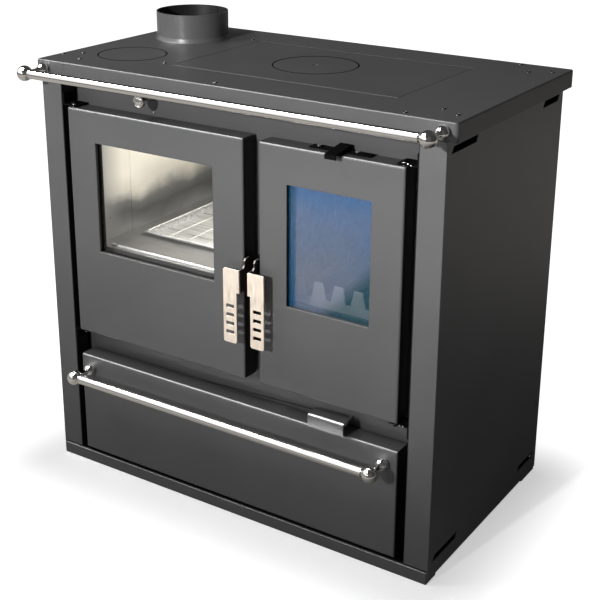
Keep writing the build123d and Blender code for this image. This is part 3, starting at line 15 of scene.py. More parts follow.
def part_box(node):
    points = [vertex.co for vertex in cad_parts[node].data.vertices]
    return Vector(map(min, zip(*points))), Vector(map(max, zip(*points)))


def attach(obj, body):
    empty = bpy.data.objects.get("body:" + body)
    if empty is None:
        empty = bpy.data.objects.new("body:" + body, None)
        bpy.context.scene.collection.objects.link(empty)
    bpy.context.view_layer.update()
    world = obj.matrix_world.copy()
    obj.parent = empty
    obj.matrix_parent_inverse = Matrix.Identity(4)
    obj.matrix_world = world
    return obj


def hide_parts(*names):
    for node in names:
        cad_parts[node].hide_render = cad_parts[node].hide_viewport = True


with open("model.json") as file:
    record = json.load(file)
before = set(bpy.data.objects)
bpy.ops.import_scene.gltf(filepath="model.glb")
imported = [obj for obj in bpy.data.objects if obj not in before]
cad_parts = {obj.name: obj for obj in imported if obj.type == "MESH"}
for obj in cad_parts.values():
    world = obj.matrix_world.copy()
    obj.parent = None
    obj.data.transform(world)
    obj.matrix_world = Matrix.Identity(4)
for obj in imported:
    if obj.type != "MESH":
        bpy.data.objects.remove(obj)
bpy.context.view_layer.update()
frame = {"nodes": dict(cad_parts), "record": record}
LOG = logging.getLogger("cookstove")

MM = 0.001
TINY = 1e-7
WELD = 0.001 * MM
NOISE_LOW = 0.3
NOISE_HIGH = 0.7
BEAD_SIDES = 10
SHARP_ANGLE = 38.0
ROUND_ANGLE = 40.0
FLAT_ANGLE = 0.5

Colour = tuple[float, float, float]
Point = tuple[float, float, float]
Flat = tuple[float, float]
Box = tuple[Vector, Vector]


class Axis(Enum):
    """The direction that a turned, folded or brushed piece runs along."""

    X = 0
    Y = 1
    Z = 2

    @property
    def across(self) -> tuple[int, int]:
        """The other two directions, in the order x, y, z."""
        return tuple(i for i in range(3) if i != self.value)


class Slot(str, Enum):
    """The record's material slots."""

    CASING = "casing_paint"
    WORKTOP = "worktop_paint"
    INNER = "inner_black"
    HOTPLATE = "hotplate_steel"
    FLUE = "flue_enamel"
    CHROME = "chrome"
    LEVER = "lever_steel"
    PIN = "pin_steel"
    SCREW = "screw_steel"
    OVEN = "oven_steel"
    WINDOW = "window_glass"
    COATED = "coated_glass"
    SEAL = "seal_black"
    BRICK = "firebrick"
    IRON = "grate_iron"


# ------------------------------------------------------------------ shader graph
class ShaderGraph:
    """A material's node tree with short ways to add and join nodes."""

    def __init__(self, name: str) -> None:
        """Starts an empty material whose Principled shader feeds the output.

        Args:
            name: The material's name.
        """
        self.material = bpy.data.materials.new(name)
        self.material.use_nodes = True
        self.tree = self.material.node_tree
        self.shader = self.tree.nodes["Principled BSDF"]
        self.coords = self.add("ShaderNodeTexCoord").outputs["Object"]

    def add(self, kind: str, **sockets: object) -> bpy.types.Node:
        """Adds a node and sets its input sockets by name.

        Args:
            kind: The node's Blender type.
            sockets: Input values, with spaces in the names written as underscores.

        Returns:
            The new node.
        """
        node = self.tree.nodes.new(kind)
        for key, value in sockets.items():
            node.inputs[key.replace("_", " ")].default_value = value
        return node

    def link(self, start: bpy.types.NodeSocket, end: bpy.types.NodeSocket) -> None:
        """Joins an output to an input."""
        self.tree.links.new(start, end)

    def noise(self, scale: float, detail: float = 4.0, stretch: Point = (1, 1, 1)) -> bpy.types.NodeSocket:
        """Adds a noise over the object's own coordinates.

        Args:
            scale: Cells per metre.
            detail: Octaves.
            stretch: Scale of the coordinates on each axis.

        Returns:
            The noise's value socket.
        """
        mapping = self.add("ShaderNodeMapping", Scale=stretch)
        self.link(self.coords, mapping.inputs["Vector"])
        noise = self.add("ShaderNodeTexNoise", Scale=scale, Detail=detail)
        self.link(mapping.outputs["Vector"], noise.inputs["Vector"])
        return noise.outputs["Fac"]

    def ramp(self, source: bpy.types.NodeSocket, stops: list[tuple[float, Colour]]) -> bpy.types.NodeSocket:
        """Turns a value into a colour.

        Args:
            source: The value.
            stops: Positions with their colours.

        Returns:
            The colour socket.
        """
        ramp = self.add("ShaderNodeValToRGB")
        self.link(source, ramp.inputs["Fac"])
        elements = ramp.color_ramp.elements
        while len(elements) < len(stops):
            elements.new(1.0)
        for element, (place, colour) in zip(elements, stops):
            element.position = place
            element.color = (*colour, 1.0)
        return ramp.outputs["Color"]

    def spread(self, source: bpy.types.NodeSocket, low: float, high: float) -> bpy.types.NodeSocket:
        """Maps the middle of a noise's values to a range.

        Args:
            source: The noise.
            low: Result where the noise is NOISE_LOW.
            high: Result where the noise is NOISE_HIGH.

        Returns:
            The mapped value.
        """
        limits = {"From_Min": NOISE_LOW, "From_Max": NOISE_HIGH, "To_Min": low, "To_Max": high}
        node = self.add("ShaderNodeMapRange", **limits)
        self.link(source, node.inputs["Value"])
        return node.outputs["Result"]

    def mottled(self, source: bpy.types.NodeSocket, colour: Colour, share: float) -> bpy.types.NodeSocket:
        """Makes a colour darker and lighter with a noise.

        Args:
            source: The noise.
            colour: The colour.
            share: How much darker and lighter it gets.

        Returns:
            The colour socket.
        """
        stops = [(NOISE_LOW, scaled(colour, 1 - share)), (NOISE_HIGH, scaled(colour, 1 + share))]
        return self.ramp(source, stops)

    def math(self, operation: str, *terms: object) -> bpy.types.NodeSocket:
        """Adds a math node.

        Args:
            operation: Its operation.
            terms: Sockets or plain numbers.

        Returns:
            The result.
        """
        node = self.add("ShaderNodeMath")
        node.operation = operation
        for socket, term in zip(node.inputs, terms):
            if isinstance(term, bpy.types.NodeSocket):
                self.link(term, socket)
            else:
                socket.default_value = term
        return node.outputs[0]

    def along(
        self, axis: Axis, start: float, end: float, middle: float | None = None
    ) -> bpy.types.NodeSocket:
        """Rises from 0 to 1 between two places on an axis of the object.

        Args:
            axis: The axis.
            start: Metres where it is 0.
            end: Metres where it is 1.
            middle: If given, the distance from this place counts, on either side.

        Returns:
            The value.
        """
        parts = self.add("ShaderNodeSeparateXYZ")
        self.link(self.coords, parts.inputs[0])
        place = parts.outputs[axis.value]
        if middle is not None:
            place = self.math("ABSOLUTE", self.math("SUBTRACT", place, middle))
        node = self.add("ShaderNodeMapRange", From_Min=start, From_Max=end)
        self.link(place, node.inputs["Value"])
        return node.outputs["Result"]

    def within(self, centre: Flat, radius: float) -> bpy.types.NodeSocket:
        """Is 1 inside an upright cylinder, and 0 outside.

        Args:
            centre: The cylinder's x and y.
            radius: Its radius.

        Returns:
            The value.
        """
        offset = self.add("ShaderNodeVectorMath")
        offset.operation = "SUBTRACT"
        self.link(self.coords, offset.inputs[0])
        offset.inputs[1].default_value = (*centre, 0.0)
        flat = self.add("ShaderNodeVectorMath")
        flat.operation = "MULTIPLY"
        self.link(offset.outputs["Vector"], flat.inputs[0])
        flat.inputs[1].default_value = (1.0, 1.0, 0.0)
        length = self.add("ShaderNodeVectorMath")
        length.operation = "LENGTH"
        self.link(flat.outputs["Vector"], length.inputs[0])
        return self.math("LESS_THAN", length.outputs["Value"], radius)

    def blend(self, share: bpy.types.NodeSocket, first: object, second: object) -> bpy.types.NodeSocket:
        """Mixes two colours.

        Args:
            share: How much of the second.
            first: A colour socket or a plain colour.
            second: A colour socket or a plain colour.

        Returns:
            The mixed colour.
        """
        node = self.add("ShaderNodeMix")
        node.data_type = "RGBA"
        self.link(share, node.inputs[0])
        for socket, colour in zip((node.inputs[6], node.inputs[7]), (first, second)):
            if isinstance(colour, bpy.types.NodeSocket):
                self.link(colour, socket)
            else:
                socket.default_value = (*colour, 1.0)
        return node.outputs[2]

    def bump(self, source: bpy.types.NodeSocket, depth: float) -> None:
        """Raises the surface by a value.

        Args:
            source: The height, from 0 to 1.
            depth: Metres from 0 to 1.
        """
        node = self.add("ShaderNodeBump", Strength=1.0, Distance=depth)
        self.link(source, node.inputs["Height"])
        self.link(node.outputs["Normal"], self.shader.inputs["Normal"])

    def paint(self, colour: bpy.types.NodeSocket, roughness: bpy.types.NodeSocket) -> None:
        """Feeds the shader's colour and roughness."""
        self.link(colour, self.shader.inputs["Base Color"])
        self.link(roughness, self.shader.inputs["Roughness"])

    def set(self, **sockets: object) -> None:
        """Sets plain values on the Principled shader's own sockets."""
        for key, value in sockets.items():
            self.shader.inputs[key.replace("_", " ")].default_value = value


def scaled(colour: Colour, factor: float) -> Colour:
    """A lighter or darker version of a colour."""
    return tuple(min(1.0, c * factor) for c in colour)


# ------------------------------------------------------------------ finishes
@dataclass(frozen=True)
class PaintFinish:
    """Baked heat-proof paint: a fine even grain with a faint mottling.

    Between two distances from the middle the paint turns to black: painted shade on the side where the sheet
    lies in a gap. Above a given height the flat top of a door is mostly black too: painted shade. Within a
    given radius of a given centre the paint is darker: painted shade inside the flue's bore.
    """

    name: str
    colour: Colour
    roughness: float = 0.42
    gloss: float = 0.35
    mottling: float = 0.06
    grain: float = 1400.0
    depth: float = 0.00005
    gap_shade_from: float = 0.0
    gap_shade_to: float = 0.0
    middle: float = 0.0
    flange_shade_level: float = 0.0
    shade_black: Colour = (0.004, 0.004, 0.004)
    bore_shade_centre: Flat = (0.0, 0.0)
    bore_shade_radius: float = 0.0
    bore_shade_tone: float = 3.0
    flange_shade_rise: float = 0.0003
    flange_shade_share: float = 0.7
    swing: float = 0.04

    def build(self) -> bpy.types.Material:
        """Makes the material."""
        graph = ShaderGraph(self.name)
        broad = graph.noise(5.0, 3.0)
        colour = graph.mottled(broad, self.colour, self.mottling)
        # Painted shade: black where the sheet lies in a gap, and on much of a door's flat top.
        if self.gap_shade_from:
            gap_shade_mask = graph.along(Axis.X, self.gap_shade_from, self.gap_shade_to, self.middle)
            if self.flange_shade_level:
                top = graph.along(Axis.Z, self.flange_shade_level, self.flange_shade_level + self.flange_shade_rise)
                gap_shade_mask = graph.math("MAXIMUM", gap_shade_mask, graph.math("MULTIPLY", top, self.flange_shade_share))
            colour = graph.blend(gap_shade_mask, colour, self.shade_black)
        # Painted shade: darker inside the flue's bore.
        if self.bore_shade_radius:
            bore_shade_mask = graph.within(self.bore_shade_centre, self.bore_shade_radius)
            colour = graph.blend(bore_shade_mask, colour, scaled(self.shade_black, self.bore_shade_tone))
        fine = graph.noise(self.grain, 2.0)
        graph.paint(colour, graph.spread(fine, self.roughness - self.swing, self.roughness + self.swing))
        graph.bump(fine, self.depth)
        graph.set(Specular_IOR_Level=self.gloss)
        return graph.material


@dataclass(frozen=True)
class MetalFinish:
    """Bare metal with brushing, rolling or polishing lines along one axis."""

    name: str
    colour: Colour
    roughness: float
    along: Axis = Axis.X
    streaks: float = 0.1
    fineness: float = 900.0
    depth: float = 0.00003
    anisotropy: float = 0.0
    metallic: float = 1.0
    back_shade: Colour | None = None
    back_shade_from: float = 0.0
    back_shade_to: float = 0.0
    stretch: float = 0.03

    def build(self) -> bpy.types.Material:
        """Makes the material. Behind a given depth the metal turns dark: painted shade behind its front face.
        """
        graph = ShaderGraph(self.name)
        stretch = [1.0, 1.0, 1.0]
        stretch[self.along.value] = self.stretch
        lines = graph.noise(self.fineness, 2.0, tuple(stretch))
        colour = graph.mottled(lines, self.colour, self.streaks)
        # Painted shade: dark on the parts behind the front face, such as a lever's shank and slot walls.
        if self.back_shade:
            colour = graph.blend(graph.along(Axis.Y, self.back_shade_from, self.back_shade_to), colour, self.back_shade)
        graph.paint(colour, graph.spread(lines, self.roughness * 0.8, self.roughness * 1.2))
        graph.bump(lines, self.depth)
        graph.set(Metallic=self.metallic, Anisotropic=self.anisotropy)
        return graph.material


@dataclass(frozen=True)
class OvenSteelFinish:
    """Stainless sheet with painted light and shade: pale foot and front, dark midway, cream above."""

    name: str
    foot: float
    head: float
    painted_light_bands: tuple[tuple[float, Colour], ...]
    front: Colour
    painted_front_from: float
    painted_front_to: float
    roughness: float = 0.34
    metallic: float = 0.35
    painted_front_share: float = 0.8
    wave: float = 0.06
    swing: float = 0.05
    depth: float = 0.00004

    def build(self) -> bpy.types.Material:
        """Makes the material."""
        graph = ShaderGraph(self.name)
        wave = graph.spread(graph.noise(9.0, 3.0, (1.0, 1.0, 1.2)), -self.wave, self.wave)
        # Painted light and shade: a dark band half way up, a cream painted reflection above, grey at the
        # front.
        height = graph.math("ADD", graph.along(Axis.Z, self.foot, self.head), wave)
        colour = graph.ramp(height, list(self.painted_light_bands))
        front = graph.math("MULTIPLY", graph.along(Axis.Y, self.painted_front_from, self.painted_front_to), self.painted_front_share)
        colour = graph.blend(front, colour, self.front)
        smear = graph.noise(200.0, 3.0, (0.05, 0.5, 1.0))
        graph.paint(colour, graph.spread(smear, self.roughness - self.swing, self.roughness + self.swing))
        graph.bump(smear, self.depth)
        graph.set(Metallic=self.metallic)
        return graph.material


@dataclass(frozen=True)
class GlassFinish:
    """Window glass: a clear or coated pane that mirrors a share of its surroundings.

    A coated pane has painted light and shade: a dark strip of the edge colour up to a given x, painted shade
    beside the frame; the upper colour towards the top of its rise and the lower colour in the corner at the
    foot of the other side, painted reflections.
    """

    name: str
    low: Colour
    high: Colour
    share: float
    metallic: float = 1.0
    roughness: float = 0.03
    edge: Colour | None = None
    shade_strip_from: float = 0.0
    shade_strip_to: float = 0.0
    upper: Colour = (0.0, 0.0, 0.0)
    lower: Colour = (0.0, 0.0, 0.0)
    rise: Flat = (0.0, 0.0)
    wave: float = 0.25
    reflection_corner_shift: float = 0.15
    reflection_corner_gain: float = 6.0

    def build(self) -> bpy.types.Material:
        """Makes the material."""
        graph = ShaderGraph(self.name)
        cloud = graph.noise(5.0, 2.0, (1.0, 1.0, 1.3))
        colour = graph.ramp(cloud, [(0.38, self.low), (0.62, self.high)])
        # Painted light and shade: reflections painted above and in the lower corner, shade in a strip at the
        # edge.
        if self.edge:
            foot, head = self.rise
            wave = graph.spread(graph.noise(9.0, 2.0), -self.wave, self.wave)
            high = graph.math("ADD", graph.along(Axis.Z, (foot + head) / 2, head), wave)
            colour = graph.blend(high, colour, self.upper)
            across = graph.along(Axis.X, self.shade_strip_to, self.shade_strip_to + head - foot)
            corner = graph.math("SUBTRACT", across, self.reflection_corner_shift)
            low = graph.math("SUBTRACT", corner, graph.along(Axis.Z, foot, head))
            colour = graph.blend(graph.math("MULTIPLY", low, self.reflection_corner_gain), colour, self.lower)
            inner = graph.along(Axis.X, self.shade_strip_from, self.shade_strip_to)
            colour = graph.blend(inner, self.edge, colour)
        smears = graph.spread(graph.noise(30.0, 3.0), self.roughness * 0.6, self.roughness * 1.6)
        graph.paint(colour, smears)
        graph.set(Metallic=self.metallic, Alpha=self.share)
        return graph.material


@dataclass(frozen=True)
class MineralFinish:
    """Fired board, cast iron or rope seal: coarse, dull and uneven."""

    name: str
    dark: Colour
    light: Colour
    roughness: float
    scale: float
    depth: float
    metallic: float = 0.0
    swing: float = 0.08

    def build(self) -> bpy.types.Material:
        """Makes the material."""
        graph = ShaderGraph(self.name)
        grain = graph.noise(self.scale, 6.0)
        rough = graph.spread(grain, self.roughness - self.swing, self.roughness + self.swing)
        graph.paint(graph.ramp(grain, [(0.35, self.dark), (0.65, self.light)]), rough)
        graph.bump(grain, self.depth)
        graph.set(Metallic=self.metallic)
        return graph.material


Finish = PaintFinish | MetalFinish | OvenSteelFinish | GlassFinish | MineralFinish
CASING_BLACK = (0.085, 0.085, 0.087)
FINISHES = {
    Slot.CASING: PaintFinish("casing_paint", CASING_BLACK),
    Slot.WORKTOP: PaintFinish("worktop_paint", (0.070, 0.070, 0.071), gloss=0.2),
    Slot.INNER: PaintFinish("inner_black", (0.006, 0.006, 0.006), roughness=0.6, gloss=0.0),
    Slot.HOTPLATE: PaintFinish(
        "hotplate_steel",
        (0.066, 0.066, 0.067),
        roughness=0.44,
        gloss=0.2,
        mottling=0.1,
        grain=700.0,
        depth=0.00008,
    ),
    Slot.FLUE: PaintFinish(
        "flue_enamel",
        (0.078, 0.078, 0.079),
        roughness=0.32,
        gloss=0.4,
        # Painted shade: the paint is darker inside the flue's bore.
        bore_shade_centre=(-0.339, 0.1415),
        bore_shade_radius=0.0732,
    ),
    Slot.CHROME: MetalFinish(
        "chrome", (0.80, 0.785, 0.76), roughness=0.06, streaks=0.02, fineness=300.0, depth=0.000003
    ),
    Slot.LEVER: MetalFinish(
        "lever_steel",
        (0.86, 0.77, 0.67),
        roughness=0.56,
        along=Axis.Z,
        streaks=0.08,
        fineness=1500.0,
        depth=0.00002,
        anisotropy=0.2,
        # Painted shade: dark behind the grip's front face, on the shank and the slots' walls.
        back_shade=(0.07, 0.062, 0.055),
        back_shade_from=-0.2384,
        back_shade_to=-0.2374,
    ),
    Slot.PIN: MetalFinish("pin_steel", (0.62, 0.61, 0.59), roughness=0.28, along=Axis.Z),
    Slot.SCREW: MetalFinish("screw_steel", (0.06, 0.06, 0.062), roughness=0.34, along=Axis.Y),
    # Oven steel: painted shade half way up and a cream painted reflection above.
    Slot.OVEN: OvenSteelFinish(
        "oven_steel",
        foot=0.478,
        head=0.728,
        painted_light_bands=(
            (0.0, (0.20, 0.20, 0.195)),
            (0.06, (0.12, 0.12, 0.12)),
            (0.14, (0.055, 0.055, 0.055)),
            (0.24, (0.11, 0.11, 0.108)),
            (0.36, (0.56, 0.53, 0.46)),
            (0.55, (0.76, 0.72, 0.63)),
        ),
        front=(0.20, 0.20, 0.196),
        painted_front_from=-0.09,
        painted_front_to=-0.15,
    ),
    Slot.WINDOW: GlassFinish("window_glass", low=(0.75, 0.76, 0.74), high=(0.85, 0.86, 0.83), share=0.05),
    # Coated glass: its edge strip is painted shade, its upper and lower colours painted reflections.
    Slot.COATED: GlassFinish(
        "coated_glass",
        low=(0.15, 0.21, 0.33),
        high=(0.21, 0.25, 0.34),
        share=0.42,
        metallic=0.25,
        roughness=0.06,
        edge=(0.02, 0.115, 0.25),
        shade_strip_from=0.146,
        shade_strip_to=0.152,
        upper=(0.085, 0.20, 0.42),
        lower=(0.03, 0.10, 0.14),
        rise=(0.47, 0.70),
    ),
    Slot.SEAL: MineralFinish(
        "seal_black", (0.004, 0.004, 0.004), (0.012, 0.011, 0.010), roughness=0.85, scale=700.0, depth=0.0004
    ),
    Slot.BRICK: MineralFinish(
        "firebrick", (0.42, 0.34, 0.24), (0.60, 0.51, 0.38), roughness=0.9, scale=90.0, depth=0.0012
    ),
    Slot.IRON: MineralFinish(
        "grate_iron",
        (0.05, 0.047, 0.045),
        (0.10, 0.095, 0.09),
        roughness=0.6,
        scale=260.0,
        depth=0.0005,
        metallic=0.6,
    ),
}
# Front plate darker than the casing, painted shade under the worktop; black at its ends, painted shade in the
# gaps.
FASCIA_SHADE_PAINT = PaintFinish("fascia_paint", (0.058, 0.058, 0.059), gap_shade_from=0.3785, gap_shade_to=0.380)
# Doors: black at the sides, painted shade in the gaps; above this height the flat top is mostly black,
# painted shade.
DOOR_FLANGE_SHADE_LEVEL = 0.7654
DOOR_GAP_SHADE_PAINTS = {
    f"{door}_door": PaintFinish(
        f"{door}_door_paint",
        CASING_BLACK,
        gap_shade_from=gap_shade_from,
        gap_shade_to=gap_shade_to,
        middle=middle_x,
        flange_shade_level=DOOR_FLANGE_SHADE_LEVEL,
    )
    for door, gap_shade_from, gap_shade_to, middle_x in (
        ("oven", 0.2050, 0.2062, -0.1635),
        ("firebox", 0.1430, 0.1442, 0.2205),
    )
}
# Drawer front black at its ends, pillars black on their inner returns: painted shade in the gaps.
DRAWER_GAP_SHADE_PAINT = PaintFinish("wood_drawer_paint", CASING_BLACK, gap_shade_from=0.3668, gap_shade_to=0.3680)
PILLAR_GAP_SHADE_PAINT = PaintFinish("pillar_paint", CASING_BLACK, gap_shade_from=0.3875, gap_shade_to=0.3865)
TRAY_STEEL = MetalFinish(
    "tray_steel",
    (0.50, 0.50, 0.49),
    roughness=0.32,
    streaks=0.35,
    fineness=260.0,
    depth=0.0002,
    metallic=0.45,
)
LIP_STEEL = MetalFinish("lip_steel", (0.74, 0.74, 0.73), roughness=0.25, streaks=0.02, metallic=0.3)
HANDLE_STEEL = MetalFinish(
    "air_handle_steel", (0.13, 0.13, 0.133), roughness=0.34, streaks=0.08, fineness=700.0, metallic=0.4
)
FENCE_STEEL = MineralFinish(
    "fence_steel", (0.50, 0.49, 0.475), (0.58, 0.57, 0.555), roughness=0.55, scale=40.0, depth=0.0001
)


# ------------------------------------------------------------------ studio
@dataclass(frozen=True)
class Lamp:
    """A soft rectangular lamp: where it stands, what it faces, its size in metres and its watts."""

    name: str
    place: Point
    target: Point
    size: Flat
    watts: float
    tint: Colour = (1.0, 1.0, 1.0)
    in_gloss: bool = True

    def build(self) -> bpy.types.Object:
        """Adds the lamp to the scene."""
        data = bpy.data.lights.new(self.name, "AREA")
        data.shape = "RECTANGLE"
        data.size, data.size_y = self.size
        data.energy = self.watts
        data.color = self.tint
        lamp = bpy.data.objects.new(self.name, data)
        bpy.context.scene.collection.objects.link(lamp)
        turn = (Vector(self.target) - Vector(self.place)).to_track_quat("-Z", "Y").to_matrix().to_4x4()
        lamp.matrix_world = Matrix.Translation(self.place) @ turn
        lamp.visible_glossy = self.in_gloss
        return lamp


@dataclass(frozen=True)
class Card:
    """A flat studio card that only gloss sees, given by its four corners and its brightness."""

    name: str
    corners: tuple[Point, Point, Point, Point]
    brightness: float

    def build(self) -> bpy.types.Object:
        """Adds the card to the scene."""
        card = plane(self.name, self.corners)
        tree = emitter(self.name)
        tree.nodes["Emission"].inputs["Strength"].default_value = self.brightness
        card.data.materials.append(bpy.data.materials[self.name])
        only_gloss(card)
        return card


def plane(name: str, corners: tuple[Point, ...]) -> bpy.types.Object:
    """Adds a flat staged plane.

    Args:
        name: The plane's name.
        corners: Its corners in order.

    Returns:
        The plane.
    """
    mesh = bpy.data.meshes.new(name)
    mesh.from_pydata(corners, [], [tuple(range(len(corners)))])
    made = bpy.data.objects.new(name, mesh)
    bpy.context.scene.collection.objects.link(made)
    return made


def emitter(name: str) -> bpy.types.NodeTree:
    """A material of plain emission."""
    material = bpy.data.materials.new(name)
    material.use_nodes = True
    tree = material.node_tree
    tree.nodes.remove(tree.nodes["Principled BSDF"])
    glow = tree.nodes.new("ShaderNodeEmission")
    tree.links.new(glow.outputs[0], tree.nodes["Material Output"].inputs["Surface"])
    return tree


def graded(
    tree: bpy.types.NodeTree, source: bpy.types.NodeSocket, limits: tuple[float, float, float, float]
) -> bpy.types.NodeSocket:
    """Adds a smooth step to a node tree.

    Args:
        tree: The node tree.
        source: The value that it goes by.
        limits: The first and last input, and the result at each.

    Returns:
        The result.
    """
    step = tree.nodes.new("ShaderNodeMapRange")
    step.interpolation_type = "SMOOTHSTEP"
    for name, value in zip(("From Min", "From Max", "To Min", "To Max"), limits):
        step.inputs[name].default_value = value
    tree.links.new(source, step.inputs["Value"])
    return step.outputs["Result"]


def only_gloss(card: bpy.types.Object) -> None:
    """Hides a card from everything but reflections."""
    card.visible_camera = False
    card.visible_diffuse = False
    card.visible_transmission = False
    card.visible_shadow = False
    card.visible_volume_scatter = False


def upright(name: str, start: Flat, end: Flat, rise: Flat, brightness: float) -> Card:
    """A standing card between two points of the floor.

    Args:
        name: The card's name.
        start: Where it starts.
        end: Where it ends.
        rise: Its lowest and highest height.
        brightness: Its brightness.

    Returns:
        The card.
    """
    low, high = rise
    return Card(name, ((*start, low), (*end, low), (*end, high), (*start, high)), brightness)


@dataclass
class Studio:
    """Camera, floor, backdrop, cards and soft lamps round the stove. Lengths are in metres."""

    eye: Point = (1.25020, -1.89718, 1.32237)
    azimuth: float = 33.122
    elevation: float = 19.226
    roll: float = 0.252
    lens: float = 73.584
    sensor: float = 36.0
    shift_y: float = -0.12
    floor_half: float = 30.0
    floor_white: float = 0.80
    # The floor's glow is lower near the stove: a painted shadow.
    glow_in_painted_shadow: float = 0.50
    glow_far: float = 0.99
    painted_shadow_reach: float = 0.20
    footprint: Flat = (0.43, 0.24)
    sky: float = 0.12
    rug_half: float = 5.5
    rug_height: float = 0.0005
    # The gloss floor is dull beside the stove: a painted shadow.
    rug_painted_shadow: float = 0.02
    rug_light: float = 0.46
    rug_start: float = 0.2
    rug_end: float = 1.9
    rug_white: tuple[float, float, float] = (3.3, 4.3, 0.5)
    rug_centre: Point = (0.8, 0.3, 0.0)
    rug_tint: Colour = (1.0, 0.95, 0.89)
    scrim_place: float = -1.2
    scrim_foot: float = 0.02
    scrim_half: float = 1.6
    scrim_height: float = 1.15
    scrim_rise: tuple[float, float, float, float] = (0.48, 1.06, 0.13, 1.0)
    scrim_across: tuple[float, float, float, float] = (-0.42, 0.38, 0.68, 1.0)
    lamps: tuple[Lamp, ...] = (
        Lamp("key_lamp", (-0.26, -4.2, 2.04), (0.0, -0.2, 0.55), (0.16, 0.16), 282.0),
        Lamp("edge_softbox", (-1.75, -1.45, 2.9), (0.0, -0.2, 0.75), (0.9, 0.25), 22.0),
        Lamp("top_softbox", (0.0, 0.2, 3.6), (0.0, 0.2, 0.0), (3.2, 3.2), 5.5, in_gloss=False),
        Lamp("fence_lamp", (0.21, -0.192, 0.66), (0.21, -0.152, 0.47), (0.20, 0.02), 0.11, in_gloss=False),
        Lamp(
            "oven_lamp",
            (-0.04, -0.06, 0.722),
            (-0.30, 0.0, 0.50),
            (0.20, 0.12),
            3.4,
            tint=(1.0, 0.99, 0.97),
            in_gloss=False,
        ),
    )
    cards: tuple[Card, ...] = (
        upright("back_card", (-5.5, 4.0), (3.0, 4.0), (0.0, 3.6), 0.12),
        upright("right_card", (3.0, -1.6), (3.0, 6.0), (0.0, 3.6), 0.05),
        upright("front_card", (-0.5, -4.4), (3.0, -1.6), (0.0, 3.6), 0.10),
        upright("far_left_card", (-4.4, 0.6), (-5.5, 4.0), (0.0, 3.6), 0.05),
        upright("left_low_card", (-0.5, -4.4), (-4.4, 0.6), (0.0, 1.0), 0.22),
        upright("left_card", (-0.5, -4.4), (-4.4, 0.6), (1.0, 3.6), 1.25),
        Card("edge_card", ((-3.2, -2.0, 3.0), (-0.5, -2.0, 3.0), (-0.5, -0.5, 3.0), (-3.2, -0.5, 3.0)), 52.0),
        Card("ceiling_card", ((-6.0, -6.0, 3.6), (6.0, -6.0, 3.6), (6.0, 6.0, 3.6), (-6.0, 6.0, 3.6)), 0.06),
    )

    def build(self) -> None:
        """Makes the camera, the floor, the world, the cards and the lamps."""
        bpy.context.scene.view_settings.view_transform = "Standard"
        self.camera()
        self.floor()
        self.rug()
        self.scrim()
        self.world()
        for thing in self.lamps + self.cards:
            thing.build()
            LOG.info("studio: %s", thing.name)

    def camera(self) -> None:
        """Sets the camera at the viewpoint of the photo."""
        a, e, r = (math.radians(v) for v in (self.azimuth, self.elevation, self.roll))
        forward = Vector((-math.sin(a) * math.cos(e), math.cos(a) * math.cos(e), -math.sin(e)))
        level = Vector((math.cos(a), math.sin(a), 0.0))
        rise = level.cross(forward)
        right = level * math.cos(r) + rise * math.sin(r)
        up = rise * math.cos(r) - level * math.sin(r)
        data = bpy.data.cameras.new("photo_camera")
        data.sensor_width = self.sensor
        data.lens = self.lens
        data.shift_y = self.shift_y
        camera = bpy.data.objects.new("photo_camera", data)
        bpy.context.scene.collection.objects.link(camera)
        turn = Matrix((right, up, -forward)).transposed().to_4x4()
        camera.matrix_world = Matrix.Translation(self.eye) @ turn
        bpy.context.scene.camera = camera

    def seen(self, tree: bpy.types.NodeTree) -> bpy.types.NodeSocket:
        """A value of 1 for rays that show the background, and of 0 for those that light.

        Args:
            tree: The node tree it is added to.

        Returns:
            The value socket.
        """
        path = tree.nodes.new("ShaderNodeLightPath")
        total = path.outputs["Is Camera Ray"]
        for name in ("Is Glossy Ray", "Is Transmission Ray"):
            larger = tree.nodes.new("ShaderNodeMath")
            larger.operation = "MAXIMUM"
            tree.links.new(total, larger.inputs[0])
            tree.links.new(path.outputs[name], larger.inputs[1])
            total = larger.outputs[0]
        return total

    def fade(
        self,
        tree: bpy.types.NodeTree,
        limits: tuple[float, float, float, float],
        centre: Point = (0.0, 0.0, 0.0),
        half: Flat = (0.0, 0.0),
    ) -> bpy.types.NodeSocket:
        """A value that changes with the distance from a point or a rectangle of the floor.

        Args:
            tree: The node tree it is added to.
            limits: The near and far distance, and the value at each.
            centre: The rectangle's middle.
            half: Half of its sides.

        Returns:
            The value socket.
        """
        socket = tree.nodes.new("ShaderNodeTexCoord").outputs["Object"]
        steps = (
            ("SUBTRACT", centre),
            ("ABSOLUTE", None),
            ("SUBTRACT", (*half, 0.0)),
            ("MAXIMUM", (0.0,) * 3),
            ("LENGTH", None),
        )
        for operation, value in steps:
            node = tree.nodes.new("ShaderNodeVectorMath")
            node.operation = operation
            tree.links.new(socket, node.inputs[0])
            if value is not None:
                node.inputs[1].default_value = value
            socket = node.outputs["Value" if operation == "LENGTH" else "Vector"]
        return graded(tree, socket, limits)

    def floor(self) -> None:
        """A pale floor that keeps the stove's shadow; its glow is lower round the stove, a painted shadow."""
        h = self.floor_half
        floor = plane("floor", ((-h, -h, 0), (h, -h, 0), (h, h, 0), (-h, h, 0)))
        tree = emitter("floor_white")
        matt = tree.nodes.new("ShaderNodeBsdfDiffuse")
        matt.inputs["Color"].default_value = (self.floor_white,) * 3 + (1.0,)
        strength = tree.nodes.new("ShaderNodeMath")
        strength.operation = "MULTIPLY"
        tree.links.new(self.seen(tree), strength.inputs[0])
